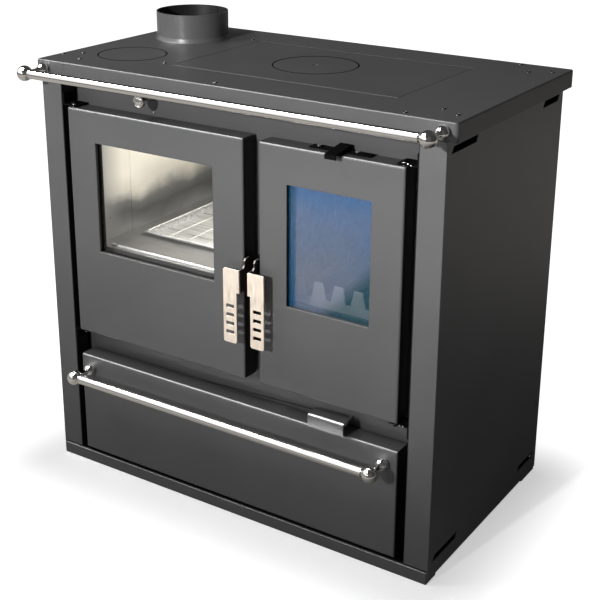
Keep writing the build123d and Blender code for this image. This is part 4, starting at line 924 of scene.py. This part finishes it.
        # Painted shadow: the glow drops towards the stove's footprint.
        fade = self.fade(tree, (0.0, self.painted_shadow_reach, self.glow_in_painted_shadow, self.glow_far), half=self.footprint)
        tree.links.new(fade, strength.inputs[1])
        glow = tree.nodes["Emission"]
        tree.links.new(strength.outputs[0], glow.inputs["Strength"])
        both = tree.nodes.new("ShaderNodeAddShader")
        tree.links.new(matt.outputs[0], both.inputs[0])
        tree.links.new(glow.outputs[0], both.inputs[1])
        tree.links.new(both.outputs[0], tree.nodes["Material Output"].inputs["Surface"])
        floor.data.materials.append(bpy.data.materials["floor_white"])

    def rug(self) -> None:
        """The floor as gloss sees it: a painted shadow beside the stove, and paler further out."""
        h, z = self.rug_half, self.rug_height
        rug = plane("gloss_rug", ((-h, -h, z), (h, -h, z), (h, h, z), (-h, h, z)))
        tree = emitter("gloss_rug")
        fade = self.fade(tree, (self.rug_start, self.rug_end, self.rug_painted_shadow, self.rug_light), self.rug_centre)
        start, end, gain = self.rug_white
        total = tree.nodes.new("ShaderNodeMath")
        tree.links.new(fade, total.inputs[0])
        tree.links.new(self.fade(tree, (start, end, 0.0, gain), self.rug_centre), total.inputs[1])
        tree.links.new(total.outputs[0], tree.nodes["Emission"].inputs["Strength"])
        tree.nodes["Emission"].inputs["Color"].default_value = (*self.rug_tint, 1.0)
        rug.data.materials.append(bpy.data.materials["gloss_rug"])
        only_gloss(rug)

    def scrim(self) -> None:
        """A graded net before the lamp, so that the foot and the left of the stove are dimmer."""
        y, half, low, high = self.scrim_place, self.scrim_half, self.scrim_foot, self.scrim_height
        net = plane("scrim", ((-half, y, low), (half, y, low), (half, y, high), (-half, y, high)))
        material = bpy.data.materials.new("scrim")
        material.use_nodes = True
        tree = material.node_tree
        tree.nodes.remove(tree.nodes["Principled BSDF"])
        parts = tree.nodes.new("ShaderNodeSeparateXYZ")
        tree.links.new(tree.nodes.new("ShaderNodeTexCoord").outputs["Object"], parts.inputs[0])
        product = tree.nodes.new("ShaderNodeMath")
        product.operation = "MULTIPLY"
        for i, (axis, limits) in enumerate(((Axis.Z, self.scrim_rise), (Axis.X, self.scrim_across))):
            tree.links.new(graded(tree, parts.outputs[axis.value], limits), product.inputs[i])
        clear = tree.nodes.new("ShaderNodeBsdfTransparent")
        tree.links.new(product.outputs[0], clear.inputs["Color"])
        tree.links.new(clear.outputs[0], tree.nodes["Material Output"].inputs["Surface"])
        net.data.materials.append(material)
        only_gloss(net)
        net.visible_glossy = False
        net.visible_shadow = True

    def world(self) -> None:
        """A white background that lights the stove only softly."""
        world = bpy.data.worlds.new("studio")
        bpy.context.scene.world = world
        world.use_nodes = True
        tree = world.node_tree
        background = tree.nodes["Background"]
        background.inputs["Color"].default_value = (1.0, 1.0, 1.0, 1.0)
        strength = tree.nodes.new("ShaderNodeMapRange")
        strength.inputs["To Min"].default_value = self.sky
        strength.inputs["To Max"].default_value = 1.0
        tree.links.new(self.seen(tree), strength.inputs["Value"])
        tree.links.new(strength.outputs["Result"], background.inputs["Strength"])


# ------------------------------------------------------------------ shop
class Form:
    """A piece under construction: closed solids in the stove's own place, in metres."""

    def __init__(self) -> None:
        """Starts with nothing."""
        self.mesh = bmesh.new()

    def ring(self, centre: Point, axis: Axis, radius: float, sides: int) -> list[bmesh.types.BMVert]:
        """Adds a ring of vertices, or one vertex where the radius is nothing.

        Args:
            centre: Its middle.
            axis: The direction it goes round.
            radius: Its radius.
            sides: Its number of vertices.

        Returns:
            The vertices.
        """
        if radius < TINY:
            return [self.mesh.verts.new(centre)]
        first, second = axis.across
        ring = []
        for i in range(sides):
            turn = math.tau * i / sides
            place = list(centre)
            place[first] += radius * math.cos(turn)
            place[second] += radius * math.sin(turn)
            ring.append(self.mesh.verts.new(place))
        return ring

    def skin(self, rings: Sequence[list[bmesh.types.BMVert]], closed: bool = False) -> "Form":
        """Joins rings of vertices to a closed solid.

        Args:
            rings: The rings in order. A ring may be one vertex.
            closed: Whether the last joins the first, and the ends stay open.

        Returns:
            The form itself.
        """
        pairs = list(zip(rings, rings[1:] + rings[:1] if closed else rings[1:]))
        for low, high in pairs:
            count = max(len(low), len(high))
            for i in range(count):
                j = (i + 1) % count
                if len(low) == 1:
                    corners = (low[0], high[j], high[i])
                elif len(high) == 1:
                    corners = (low[i], low[j], high[0])
                else:
                    corners = (low[i], low[j], high[j], high[i])
                self.mesh.faces.new(corners)
        if not closed:
            for end in (rings[0], rings[-1]):
                if len(end) > 2:
                    self.mesh.faces.new(end)
        return self

    def turned(self, centre: Point, axis: Axis, outline: Sequence[Flat], sides: int = 40) -> "Form":
        """Adds a turned solid.

        Args:
            centre: Where the stations are counted from.
            axis: Its axis.
            outline: Stations along the axis with their radii, from one end to the other.
            sides: Facets round it.

        Returns:
            The form itself.
        """
        rings = []
        for station, radius in outline:
            place = list(centre)
            place[axis.value] += station
            rings.append(self.ring(tuple(place), axis, radius, sides))
        return self.skin(rings)

    def hoop(self, centre: Point, axis: Axis, radius: float, bead: float, sides: int = 96) -> "Form":
        """Adds a round bead that goes round an axis.

        Args:
            centre: The hoop's middle.
            axis: Its axis.
            radius: Its radius to the bead's middle.
            bead: The bead's radius.
            sides: Facets round the axis.

        Returns:
            The form itself.
        """
        rings = []
        for i in range(BEAD_SIDES):
            turn = math.tau * i / BEAD_SIDES
            place = list(centre)
            place[axis.value] += bead * math.sin(turn)
            rings.append(self.ring(tuple(place), axis, radius + bead * math.cos(turn), sides))
        return self.skin(rings, closed=True)

    def prism(self, outline: Sequence[Flat], axis: Axis, span: Flat) -> "Form":
        """Adds a straight solid of one outline.

        Args:
            outline: Corners in the plane across the axis, in the order x, y, z.
            axis: The direction it runs along.
            span: Where it starts and ends.

        Returns:
            The form itself.
        """
        first, second = axis.across
        rings = []
        for end in span:
            ring = []
            for u, v in outline:
                place = [0.0, 0.0, 0.0]
                place[first], place[second], place[axis.value] = u, v, end
                ring.append(self.mesh.verts.new(place))
            rings.append(ring)
        return self.skin(rings)

    def bar(self, path: Sequence[Point], radius: float, sides: int = 12) -> "Form":
        """Adds a round bar that follows a path.

        Args:
            path: The points of its middle line.
            radius: Its radius.
            sides: Facets round it.

        Returns:
            The form itself.
        """
        points = [Vector(p) for p in path]
        rings = []
        side = None
        for i, point in enumerate(points):
            ahead = (points[min(i + 1, len(points) - 1)] - points[max(i - 1, 0)]).normalized()
            if side is None:
                side = ahead.orthogonal().normalized()
            side = (side - ahead * side.dot(ahead)).normalized()
            other = ahead.cross(side)
            ring = []
            for k in range(sides):
                turn = math.tau * k / sides
                offset = side * math.cos(turn) + other * math.sin(turn)
                ring.append(self.mesh.verts.new(point + radius * offset))
            rings.append(ring)
        return self.skin(rings)

    def build(self, name: str) -> bpy.types.Object:
        """Turns the form into an object.

        Args:
            name: The object's name.

        Returns:
            The object.
        """
        bmesh.ops.recalc_face_normals(self.mesh, faces=self.mesh.faces[:])
        mesh = bpy.data.meshes.new(name)
        self.mesh.to_mesh(mesh)
        self.mesh.free()
        mesh.shade_smooth()
        mesh.set_sharp_from_angle(angle=math.radians(SHARP_ANGLE))
        made = bpy.data.objects.new(name, mesh)
        bpy.context.scene.collection.objects.link(made)
        return made


class Workshop:
    """Keeps the finishes, dresses the CAD nodes, and turns forms into riding pieces."""

    def __init__(self) -> None:
        """Builds every finish once."""
        self.materials = {slot: finish.build() for slot, finish in FINISHES.items()}
        self.node_slots = {s["node"]: Slot(s["material_slot"]) for s in frame["record"]["subparts"]}

    def dress_nodes(self) -> None:
        """Gives each CAD node its finish."""
        for name, node in frame["nodes"].items():
            node.data.materials.clear()
            node.data.materials.append(self.materials[self.node_slots[name]])

    def repaint(self, finish: Finish, *nodes: str) -> None:
        """Gives CAD nodes a finish of their own.

        Args:
            finish: The finish.
            nodes: The nodes' names.
        """
        material = finish.build()
        for name in nodes:
            frame["nodes"][name].data.materials[0] = material

    def soften(self, width: float, *nodes: str, flatten: bool = False) -> None:
        """Rounds the sharp edges of CAD nodes, whose own meshes stay as they are.

        Args:
            width: The rounding's width.
            nodes: The nodes' names.
            flatten: Whether flat facets are joined first, so that slivers take no rounding.
        """
        for name in nodes:
            node = frame["nodes"][name]
            weld = node.modifiers.new("join_faces", "WELD")
            weld.merge_threshold = WELD
            if flatten:
                join = node.modifiers.new("join_flats", "DECIMATE")
                join.decimate_type = "DISSOLVE"
                join.angle_limit = math.radians(FLAT_ANGLE)
            bevel = node.modifiers.new("round_edges", "BEVEL")
            bevel.width = width
            bevel.segments = 2
            bevel.limit_method = "ANGLE"
            bevel.angle_limit = math.radians(ROUND_ANGLE)
            bevel.use_clamp_overlap = True
            bevel.harden_normals = False
            node.modifiers.new("even_shading", "WEIGHTED_NORMAL").weight = 100
            LOG.info("rounded the edges of %s", name)

    def add(self, form: Form, name: str, body: str, slot: Slot, *replaced: str) -> bpy.types.Object:
        """Finishes a form and hangs it on its body.

        Args:
            form: The form.
            name: The piece's name.
            body: The body it moves with.
            slot: Its material slot.
            replaced: CAD nodes that it stands for.

        Returns:
            The piece.
        """
        piece = form.build(name)
        piece.data.materials.append(self.materials[slot])
        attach(piece, body)
        if replaced:
            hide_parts(*replaced)
        LOG.info("%s: %d faces on %s", name, len(piece.data.polygons), body)
        return piece


def middle(box: Box) -> Vector:
    """The middle of a box."""
    return (box[0] + box[1]) / 2


def solids(node: str) -> list[Box]:
    """The boxes of a node's separate solids, worked out from its mesh.

    Args:
        node: The node's name.

    Returns:
        The lowest and highest corner of each solid.
    """
    mesh = bmesh.new()
    mesh.from_mesh(frame["nodes"][node].data)
    bmesh.ops.remove_doubles(mesh, verts=mesh.verts[:], dist=WELD)
    left = set(mesh.verts)
    boxes = []
    while left:
        group, front = [], [left.pop()]
        while front:
            vert = front.pop()
            group.append(vert.co.copy())
            for edge in vert.link_edges:
                other = edge.other_vert(vert)
                if other in left:
                    left.remove(other)
                    front.append(other)
        low = Vector([min(p[i] for p in group) for i in range(3)])
        high = Vector([max(p[i] for p in group) for i in range(3)])
        boxes.append((low, high))
    mesh.free()
    return sorted(boxes, key=lambda box: tuple(box[0]))


def arc(station: float, radius: float, start: float, end: float, steps: int, lift: float = 0.0) -> list[Flat]:
    """Outline points on a circle, for a turned piece.

    Args:
        station: The circle's middle along the axis.
        radius: The circle's radius.
        start: First angle in degrees: 180 is the low end of the axis, 90 its widest place.
        end: Last angle in degrees.
        steps: Number of steps.
        lift: Distance of the circle's middle from the axis.

    Returns:
        Stations with their radii.
    """
    points = []
    for i in range(steps + 1):
        turn = math.radians(start + (end - start) * i / steps)
        points.append((station + radius * math.cos(turn), lift + radius * abs(math.sin(turn))))
    return points


def add_head(form: Form, place: Point, axis: Axis, facing: int, radius: float, height: float) -> None:
    """Adds a domed screw head with a round socket to a form.

    Args:
        form: The form.
        place: The middle of the seat.
        axis: The screw's axis.
        facing: 1 where the head looks along the axis, or -1.
        radius: The head's radius.
        height: The head's height.
    """
    outline = ((-0.5, 0.0), (-0.5, 0.5), (0.0, 0.5), (0.0, 1.0), (0.35, 0.98), (0.75, 0.78), (1.0, 0.46))
    socket = ((0.55, 0.40), (0.55, 0.0))
    points = [(facing * station * height, share * radius) for station, share in outline + socket]
    form.turned(place, axis, points, 20)


# ------------------------------------------------------------------ casing
@dataclass
class Casing:
    """Carcass of folded sheet: plinth, side panels, fascia, back, hinge brackets and latch keeper."""

    edge: float = 0.6 * MM
    fold: float = 2.2 * MM
    back_screw: float = 4.0 * MM
    back_screw_height: float = 1.8 * MM
    back_inset: float = 12.0 * MM
    rivet: float = 1.5 * MM
    rivet_height: float = 0.9 * MM
    rivet_inset: float = 1.5 * MM
    beside_pin: float = 19.0 * MM
    bracket_sheet: float = 3.0 * MM
    fascia_screw: float = 2.6 * MM
    fascia_screw_height: float = 1.6 * MM
    fascia_screw_level: float = 771.0 * MM
    beside_knob: float = 3.0 * MM

    def build(self, shop: Workshop) -> None:
        """Rounds the sheets' edges and adds their fasteners."""
        shop.repaint(FASCIA_SHADE_PAINT, "front_plate")
        shop.repaint(PILLAR_GAP_SHADE_PAINT, "side_panel_left", "side_panel_right")
        # The base plate is painted near black, a painted shade under the drawer; the hinge brackets are near
        # black too.
        shop.repaint(FINISHES[Slot.INNER], "hinge_brackets", "base_plate")
        shop.soften(self.fold, "plinth")
        shop.soften(self.edge, "base_plate", "side_panel_left", "side_panel_right", "front_plate")
        shop.soften(self.edge, "back_panel", "hinge_brackets", "latch_keeper", "top_frame")
        self.back_screws(shop)
        self.front_rivets(shop)

    def back_screws(self, shop: Workshop) -> None:
        """Screws round the edge of the back panel."""
        low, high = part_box("back_panel")
        form = Form()
        for x in (low.x + self.back_inset, middle((low, high)).x, high.x - self.back_inset):
            for z in (low.z + self.back_inset, middle((low, high)).z, high.z - self.back_inset):
                add_head(form, (x, high.y, z), Axis.Y, 1, self.back_screw, self.back_screw_height)
        shop.add(form, "back_panel_screws", "stove", Slot.SCREW)

    def front_rivets(self, shop: Workshop) -> None:
        """Bright rivets on the right hinge brackets and one screw in the fascia over the door."""
        form = Form()
        right = [box for box in solids("hinge_brackets") if box[1].x > 0]
        lower, upper = sorted(right, key=lambda box: box[0].z)
        start = upper[0].x + self.beside_pin
        flat = (start, upper[0].y + 2.2 * MM, upper[0].z + self.bracket_sheet)
        add_head(form, flat, Axis.Z, 1, self.rivet, self.rivet_height)
        upper_z, lower_z = upper[0].z + self.rivet_inset, lower[1].z - self.rivet_inset
        faces = ((7.0 * MM, upper, upper_z), (9.0 * MM, lower, lower_z), (3.0 * MM, lower, lower_z))
        for aside, box, z in faces:
            add_head(form, (start + aside, box[0].y, z), Axis.Y, -1, self.rivet, self.rivet_height)
        knob = middle(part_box("smoke_damper_knob"))
        place = (knob.x + self.beside_knob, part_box("front_plate")[0].y, self.fascia_screw_level)
        add_head(form, place, Axis.Y, -1, self.fascia_screw, self.fascia_screw_height)
        shop.add(form, "front_rivets", "stove", Slot.PIN)


# ------------------------------------------------------------------ worktop
@dataclass
class Worktop:
    """Folded worktop with its cooking plate, lids, screws and flue spigot."""

    edge: float = 0.5 * MM
    plate_edge: float = 0.45 * MM
    gap_shade_bead: float = 1.3 * MM
    gap_shade_clearance: float = 0.3 * MM
    gap_shade_sink: float = 0.7 * MM
    head: float = 4.5 * MM
    head_height: float = 1.9 * MM
    flue_radius: float = 75.0 * MM
    flue_wall: float = 2.5 * MM
    rim_bead: float = 1.3 * MM
    foot_radius: float = 77.5 * MM
    foot_bead: float = 1.1 * MM
    foot_lift: float = 0.4 * MM
    seam_angle: float = 83.0
    seam_width: float = 8.0 * MM
    seam_lift: float = 1.1 * MM
    seam_sink: float = 0.6 * MM

    def build(self, shop: Workshop) -> None:
        """Rounds the plates and adds screws, flue rim and flue seam."""
        shop.soften(self.edge, "worktop", flatten=True)
        shop.soften(self.plate_edge, "hotplate_insert", "hotplate_lid", "cleaning_cover")
        self.screws(shop)
        self.gap_shade_rings(shop)
        self.flue(shop)

    def gap_shade_rings(self, shop: Workshop) -> None:
        """Black rings round the lid and cleaning cover, a little higher than the plates: painted shade."""
        # Painted shade: dark rings fill the gaps round the lids.
        for node, name, body in (
            ("hotplate_lid", "round_lid_gap_shade", "cooking_plate"),
            ("cleaning_cover", "cleaning_lid_gap_shade", "stove"),
        ):
            low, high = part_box(node)
            place = middle((low, high))
            form = Form()
            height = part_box("hotplate_insert")[1].z - self.gap_shade_sink
            radius = (high.x - low.x) / 2 + self.gap_shade_bead + self.gap_shade_clearance
            form.hoop((place.x, place.y, height), Axis.Z, radius, self.gap_shade_bead)
            shop.add(form, name, body, Slot.INNER)

    def screws(self, shop: Workshop) -> None:
        """Domed screws with sockets, in the places of the plain ones."""
        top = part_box("worktop")[1].z
        form = Form()
        for box in solids("worktop_screws"):
            place = middle(box)
            add_head(form, (place.x, place.y, top), Axis.Z, 1, self.head, self.head_height)
        shop.add(form, "worktop_screw_heads", "stove", Slot.SCREW, "worktop_screws")

    def flue(self, shop: Workshop) -> None:
        """Rolled rim, weld bead at the foot and lapped seam of the flue spigot."""
        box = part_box("flue_spigot")
        centre = middle(box)
        top, foot = box[1].z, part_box("worktop")[1].z
        form = Form()
        wall_middle = self.flue_radius - self.flue_wall / 2
        form.hoop((centre.x, centre.y, top - self.rim_bead), Axis.Z, wall_middle, self.rim_bead)
        form.hoop((centre.x, centre.y, foot + self.foot_lift), Axis.Z, self.foot_radius, self.foot_bead)
        turn = math.radians(self.seam_angle)
        out = Vector((math.cos(turn), math.sin(turn)))
        side = Vector((-out.y, out.x))
        inner = self.flue_radius - self.flue_wall
        corners = []
        sink, lift = self.seam_sink, -self.seam_lift
        for along, depth in ((-0.5, sink), (0.5, sink), (0.5, lift), (-0.5, lift)):
            place = Vector(centre.xy) + out * (inner + depth) + side * (along * self.seam_width)
            corners.append((place.x, place.y))
        form.prism(corners, Axis.Z, (foot + 8.0 * MM, top - 2.0 * MM))
        shop.add(form, "flue_rim_and_seam", "stove", Slot.FLUE)


# ------------------------------------------------------------------ rails and knob
@dataclass
class TowelRail:
    """Chromed rail on two turned posts, with a ball at each end."""

    body: str
    bar_node: str
    balls_node: str
    posts_node: str
    groove: float = 2.4 * MM
    collar: float = 0.6 * MM
    spigot_reach: float = 0.93
    spigot_share: float = 0.30
    neck: float = 4.4 * MM
    rosette_sink: float = 8.0 * MM

    def build(self, shop: Workshop) -> None:
        """Replaces the plain bar, balls and posts."""
        self.bar(shop)
        self.balls(shop)
        self.posts(shop)

    def bar(self, shop: Workshop) -> None:
        """The bar, with a groove and a collar before each ball."""
        low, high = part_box(self.bar_node)
        radius = (high.z - low.z) / 2
        line = middle((low, high))
        ball = solids(self.balls_node)[1]
        ball_radius = (ball[1].z - ball[0].z) / 2
        meet = ball[1].x - ball_radius - math.sqrt(ball_radius**2 - radius**2)
        collar, waist = radius + self.collar, radius - self.groove
        half = [(meet - 5.6 * MM, radius), (meet - 5.0 * MM, collar), (meet - 3.0 * MM, collar)]
        half += [(meet - 2.4 * MM, radius), (meet - 2.2 * MM, waist)]
        half += [(meet + 1.0 * MM, waist), (high.x, waist - 0.5 * MM)]
        outline = [(-x, r) for x, r in reversed(half)] + half
        form = Form().turned((0.0, line.y, line.z), Axis.X, outline, 48)
        shop.add(form, self.bar_node + "_turned", self.body, Slot.CHROME, self.bar_node)

    def balls(self, shop: Workshop) -> None:
        """The balls, each with a small spigot where it takes the bar."""
        form = Form()
        for box in solids(self.balls_node):
            radius = (box[1].z - box[0].z) / 2
            side = 1 if box[0].x > 0 else -1
            centre = middle(box)
            end = box[1].x - radius if side > 0 else box[0].x + radius
            reach = side * radius * -self.spigot_reach
            outline = [(reach, 0.0), (reach, radius * self.spigot_share)]
            outline += [(side * s, r) for s, r in arc(0.0, radius, 160.0, 0.0, 22)]
            form.turned((end, centre.y, centre.z), Axis.X, outline, 40)
        shop.add(form, self.balls_node + "_turned", self.body, Slot.CHROME, self.balls_node)

    def posts(self, shop: Workshop) -> None:
        """The posts: waisted necks that swell into a ball rosette on the plate."""
        form = Form()
        for box in solids(self.posts_node):
            centre = middle(box)
            rosette = (box[1].z - box[0].z) / 2
            length = box[1].y - box[0].y
            start = length - self.rosette_sink - rosette * math.cos(math.radians(30.0))
            neck = self.neck
            outline = [(0.0, 0.0), (0.0, neck + 1.6 * MM), (3.0 * MM, neck + 1.6 * MM)]
            outline += [(6.0 * MM, neck + 0.4 * MM), (9.0 * MM, neck), (start - 6.0 * MM, neck)]
            outline += [(start - 2.5 * MM, neck + 0.7 * MM), (start - 0.6 * MM, rosette * 0.5)]
            outline += arc(length - self.rosette_sink, rosette, 150.0, 48.0, 12)
            outline += [(length, rosette * 0.72), (length, 0.0)]
            form.turned((centre.x, box[0].y, centre.z), Axis.Y, outline, 36)
        shop.add(form, self.posts_node + "_turned", self.body, Slot.CHROME, self.posts_node)


@dataclass
class DamperKnob:
    """Turned damper knob: a domed disc in a rim, with a collar on the rod behind it."""

    body: str = "smoke_damper"
    node: str = "smoke_damper_knob"

    def build(self, shop: Workshop) -> None:
        """Replaces the plain knob."""
        low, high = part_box(self.node)
        centre = middle((low, high))
        dome = ((0.0, 0.0), (0.12, 4.0), (0.4, 6.4), (0.9, 7.4), (2.4, 8.0))
        rim = ((2.6, 8.8), (0.9, 9.4), (0.6, 10.6), (1.2, 11.7), (2.4, 12.3), (9.6, 12.3))
        back = ((11.8, 11.4), (13.0, 9.6), (13.2, 6.6), (13.8, 6.2))
        collar = ((14.0, 8.1), (14.4, 8.5), (16.4, 8.5), (17.0, 7.9), (17.0, 0.0))
        outline = [(station * MM, radius * MM) for station, radius in dome + rim + back + collar]
        form = Form().turned((centre.x, low.y, centre.z), Axis.Y, outline, 44)
        shop.add(form, "smoke_damper_knob_turned", self.body, Slot.CHROME, self.node)


# ------------------------------------------------------------------ doors
@dataclass
class FoldedDoor:
    """Door of folded sheet with its window, rope seal, clips, inner panel and pins."""

    body: str
    latch_body: str
    edge: float = 0.7 * MM
    lever_edge: float = 0.5 * MM
    screw: float = 3.2 * MM
    screw_height: float = 1.5 * MM
    panel_screw: float = 1.6 * MM
    panel_screw_height: float = 0.7 * MM
    inset: float = 14.0 * MM
    pin_slenderness: float = 1.8
    cap_radius: float = 4.6 * MM
    cap_height: float = 2.6 * MM

    def build(self, shop: Workshop) -> None:
        """Rounds the sheets and adds the panel's screws, the pins' caps and the clips' screws."""
        shop.repaint(DOOR_GAP_SHADE_PAINTS[self.body], f"{self.body}_shell")
        shop.soften(self.edge, f"{self.body}_shell", f"{self.body}_inner_panel", f"{self.body}_clips")
        shop.soften(self.lever_edge, f"{self.latch_body}_lever")
        self.panel_screws(shop)
        self.pin_caps(shop)

    def panel_screws(self, shop: Workshop) -> None:
        """Screws that hold the inner panel and the glass clips, seen with the door open."""
        low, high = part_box(f"{self.body}_inner_panel")
        form = Form()
        for x in (low.x + self.inset / 2, middle((low, high)).x, high.x - self.inset / 2):
            for z in (low.z + self.inset / 4, high.z - self.inset / 4):
                add_head(form, (x, high.y, z), Axis.Y, 1, self.panel_screw, self.panel_screw_height)
        for clip in solids(f"{self.body}_clips"):
            place = middle(clip)
            add_head(form, (place.x, clip[1].y, place.z), Axis.Y, 1, self.screw, self.screw_height)
        shop.add(form, f"{self.body}_screws", self.body, Slot.SCREW)

    def pin_caps(self, shop: Workshop) -> None:
        """Domed caps on the outer ends of the hinge pins, which are the tall solids of their node."""
        form = Form()
        for box in solids(f"{self.body}_pins"):
            centre = middle(box)
            if box[1].z - box[0].z <= self.pin_slenderness * (box[1].x - box[0].x):
                continue
            facing = 1 if centre.z > middle(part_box(f"{self.body}_shell")).z else -1
            end = box[1].z if facing > 0 else box[0].z
            cap = [(-1.0 * MM, 0.0), (-1.0 * MM, self.cap_radius), (0.4 * MM, self.cap_radius)]
            cap += [(1.6 * MM, 3.8 * MM), (self.cap_height, 1.8 * MM), (self.cap_height * 1.1, 0.0)]
            outline = [(facing * station, radius) for station, radius in cap]
            form.turned((centre.x, centre.y, end), Axis.Z, outline, 24)
        shop.add(form, f"{self.body}_pin_caps", self.body, Slot.INNER)


# ------------------------------------------------------------------ drawer
@dataclass
class Drawer:
    """Wood drawer: folded front and box."""

    edge: float = 0.7 * MM
    screw: float = 4.0 * MM
    screw_height: float = 1.8 * MM
    screw_inset: float = 40.0 * MM
    inner_screw: float = 110.0 * MM
    screw_drop: float = 24.0 * MM
    box_sheet: float = 3.0 * MM

    def build(self, shop: Workshop) -> None:
        """Rounds the sheets and adds the screws that hold the front to the box."""
        shop.repaint(DRAWER_GAP_SHADE_PAINT, "drawer_front")
        shop.soften(self.edge, "drawer_front", "drawer_box", "drawer_runners")
        low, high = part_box("drawer_box")
        form = Form()
        for x in (low.x + self.screw_inset, -self.inner_screw, self.inner_screw, high.x - self.screw_inset):
            place = (x, low.y + self.box_sheet, high.z - self.screw_drop)
            add_head(form, place, Axis.Y, 1, self.screw, self.screw_height)
        shop.add(form, "drawer_front_screws", "wood_drawer", Slot.SCREW)


# ------------------------------------------------------------------ oven
@dataclass
class OvenInterior:
    """Stainless oven: liner with its floor lip, wall seam and rivets, and the tray with a wired rim."""

    edge: float = 0.5 * MM
    wall: float = 12.0 * MM
    lip_radius: float = 2.6 * MM
    lip_inset: float = 10.0 * MM
    lip_lift: float = 1.4 * MM
    lip_start: float = 30.0 * MM
    seam_depth: float = 104.5 * MM
    seam_width: float = 5.0 * MM
    crease: float = 1.2 * MM
    wire: float = 1.9 * MM
    tray_corner: float = 9.0 * MM
    tray_sheet: float = 1.6 * MM
    bead: float = 0.9 * MM
    bead_inset: float = 30.0 * MM
    bead_gaps: int = 6

    def build(self, shop: Workshop) -> None:
        """Rounds the sheets and adds lip, seam, rivets and the tray's rim."""
        shop.repaint(TRAY_STEEL, "oven_tray")
        shop.soften(self.edge, "oven_liner", "oven_tray", "oven_bearers", "divider_plate", "smoke_shelf")
        self.liner(shop)
        self.tray(shop)

    def liner(self, shop: Workshop) -> None:
        """Rolled lip at the floor's front, lapped wall seams and rivets."""
        low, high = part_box("oven_liner")
        left, right = low.x + self.wall, high.x - self.wall
        floor, roof = low.z + self.wall, high.z - self.wall
        lip_y, lip_z = low.y + self.lip_inset, floor + self.lip_lift
        lip_path = ((left + self.lip_start, lip_y, lip_z), (right, lip_y, lip_z))
        lip = shop.add(Form().bar(lip_path, self.lip_radius, 16), "oven_floor_lip", "stove", Slot.OVEN)
        lip.data.materials[0] = LIP_STEEL.build()
        form = Form()
        front = low.y + self.seam_depth
        back = front + self.seam_width
        for x, lift in ((left, self.crease), (right, -self.crease)):
            proud = x + lift * 0.6
            corners = ((x - lift * 0.3, front), (proud, front), (proud, back), (x, back))
            form.prism(corners, Axis.Z, (floor, roof))
        add_head(form, (left, low.y + 39.0 * MM, floor + 45.0 * MM), Axis.X, 1, 2.4 * MM, 1.3 * MM)
        add_head(form, (left + 46.0 * MM, low.y + 4.5 * MM, floor), Axis.Z, 1, 2.2 * MM, 1.2 * MM)
        shop.add(form, "oven_liner_seams", "stove", Slot.OVEN)

    def tray(self, shop: Workshop) -> None:
        """A wired rim round the tray, and beads from front to back in its bottom."""
        low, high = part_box("oven_tray")
        z = high.z - self.wire * 0.4
        inset = self.wire
        corners = [(low.x + inset, low.y + inset), (high.x - inset, low.y + inset)]
        corners += [(high.x - inset, high.y - inset), (low.x + inset, high.y - inset)]
        path = []
        for i, (x, y) in enumerate(corners):
            previous, following = corners[i - 1], corners[(i + 1) % 4]
            for nx, ny in (previous, following):
                dx, dy = nx - x, ny - y
                size = math.hypot(dx, dy)
                path.append((x + dx / size * self.tray_corner, y + dy / size * self.tray_corner, z))
        path.append(path[0])
        form = Form().bar(path, self.wire, 10)
        bottom = low.z + self.tray_sheet
        front, back = low.y + self.bead_inset, high.y - self.bead_inset
        for i in range(1, self.bead_gaps):
            x = low.x + (high.x - low.x) * i / self.bead_gaps
            form.bar(((x, front, bottom), (x, back, bottom)), self.bead, 8)
        rim = shop.add(form, "oven_tray_rim", "stove", Slot.OVEN)
        rim.data.materials[0] = bpy.data.materials[LIP_STEEL.name]


# ------------------------------------------------------------------ firebox
@dataclass
class Firebox:
    """Firebox: brick lining, grate, log fence and ash pan."""

    brick_edge: float = 2.0 * MM
    casting_edge: float = 1.0 * MM
    sheet_edge: float = 0.6 * MM

    def build(self, shop: Workshop) -> None:
        """Rounds bricks and castings, and paints the fence pale."""
        shop.repaint(FENCE_STEEL, "log_fence")
        shop.soften(self.brick_edge, "firebricks_left", "firebricks_right", "firebricks_back")
        shop.soften(self.casting_edge, "grate")
        shop.soften(self.sheet_edge, "log_fence", "ash_pan", "firebox_shell")


# ------------------------------------------------------------------ air controls
@dataclass
class AirControls:
    """Black secondary-air slider on the door and the steel pull of the primary air."""

    edge: float = 0.4 * MM

    def build(self, shop: Workshop) -> None:
        """Gives the slider and the pull their own finishes and rounds their folds."""
        shop.repaint(FINISHES[Slot.INNER], "secondary_air_slider")
        shop.repaint(HANDLE_STEEL, "primary_air_handle")
        shop.soften(self.edge, "secondary_air_slider", "primary_air_handle")


def main() -> None:
    """Builds the studio and every sub-assembly in order."""
    logging.basicConfig(level=logging.INFO, format="%(name)s: %(message)s")
    Studio().build()
    shop = Workshop()
    shop.dress_nodes()
    assemblies = (
        Casing(),
        Worktop(),
        TowelRail("stove", "top_rail", "top_rail_balls", "top_rail_posts"),
        DamperKnob(),
        FoldedDoor("oven_door", "oven_latch"),
        FoldedDoor("firebox_door", "firebox_latch"),
        Drawer(),
        TowelRail("wood_drawer", "drawer_rail", "drawer_rail_balls", "drawer_rail_posts"),
        OvenInterior(),
        Firebox(),
        AirControls(),
    )
    for assembly in assemblies:
        LOG.info("building %s", type(assembly).__name__)
        assembly.build(shop)


if __name__ == "__main__":
    main()
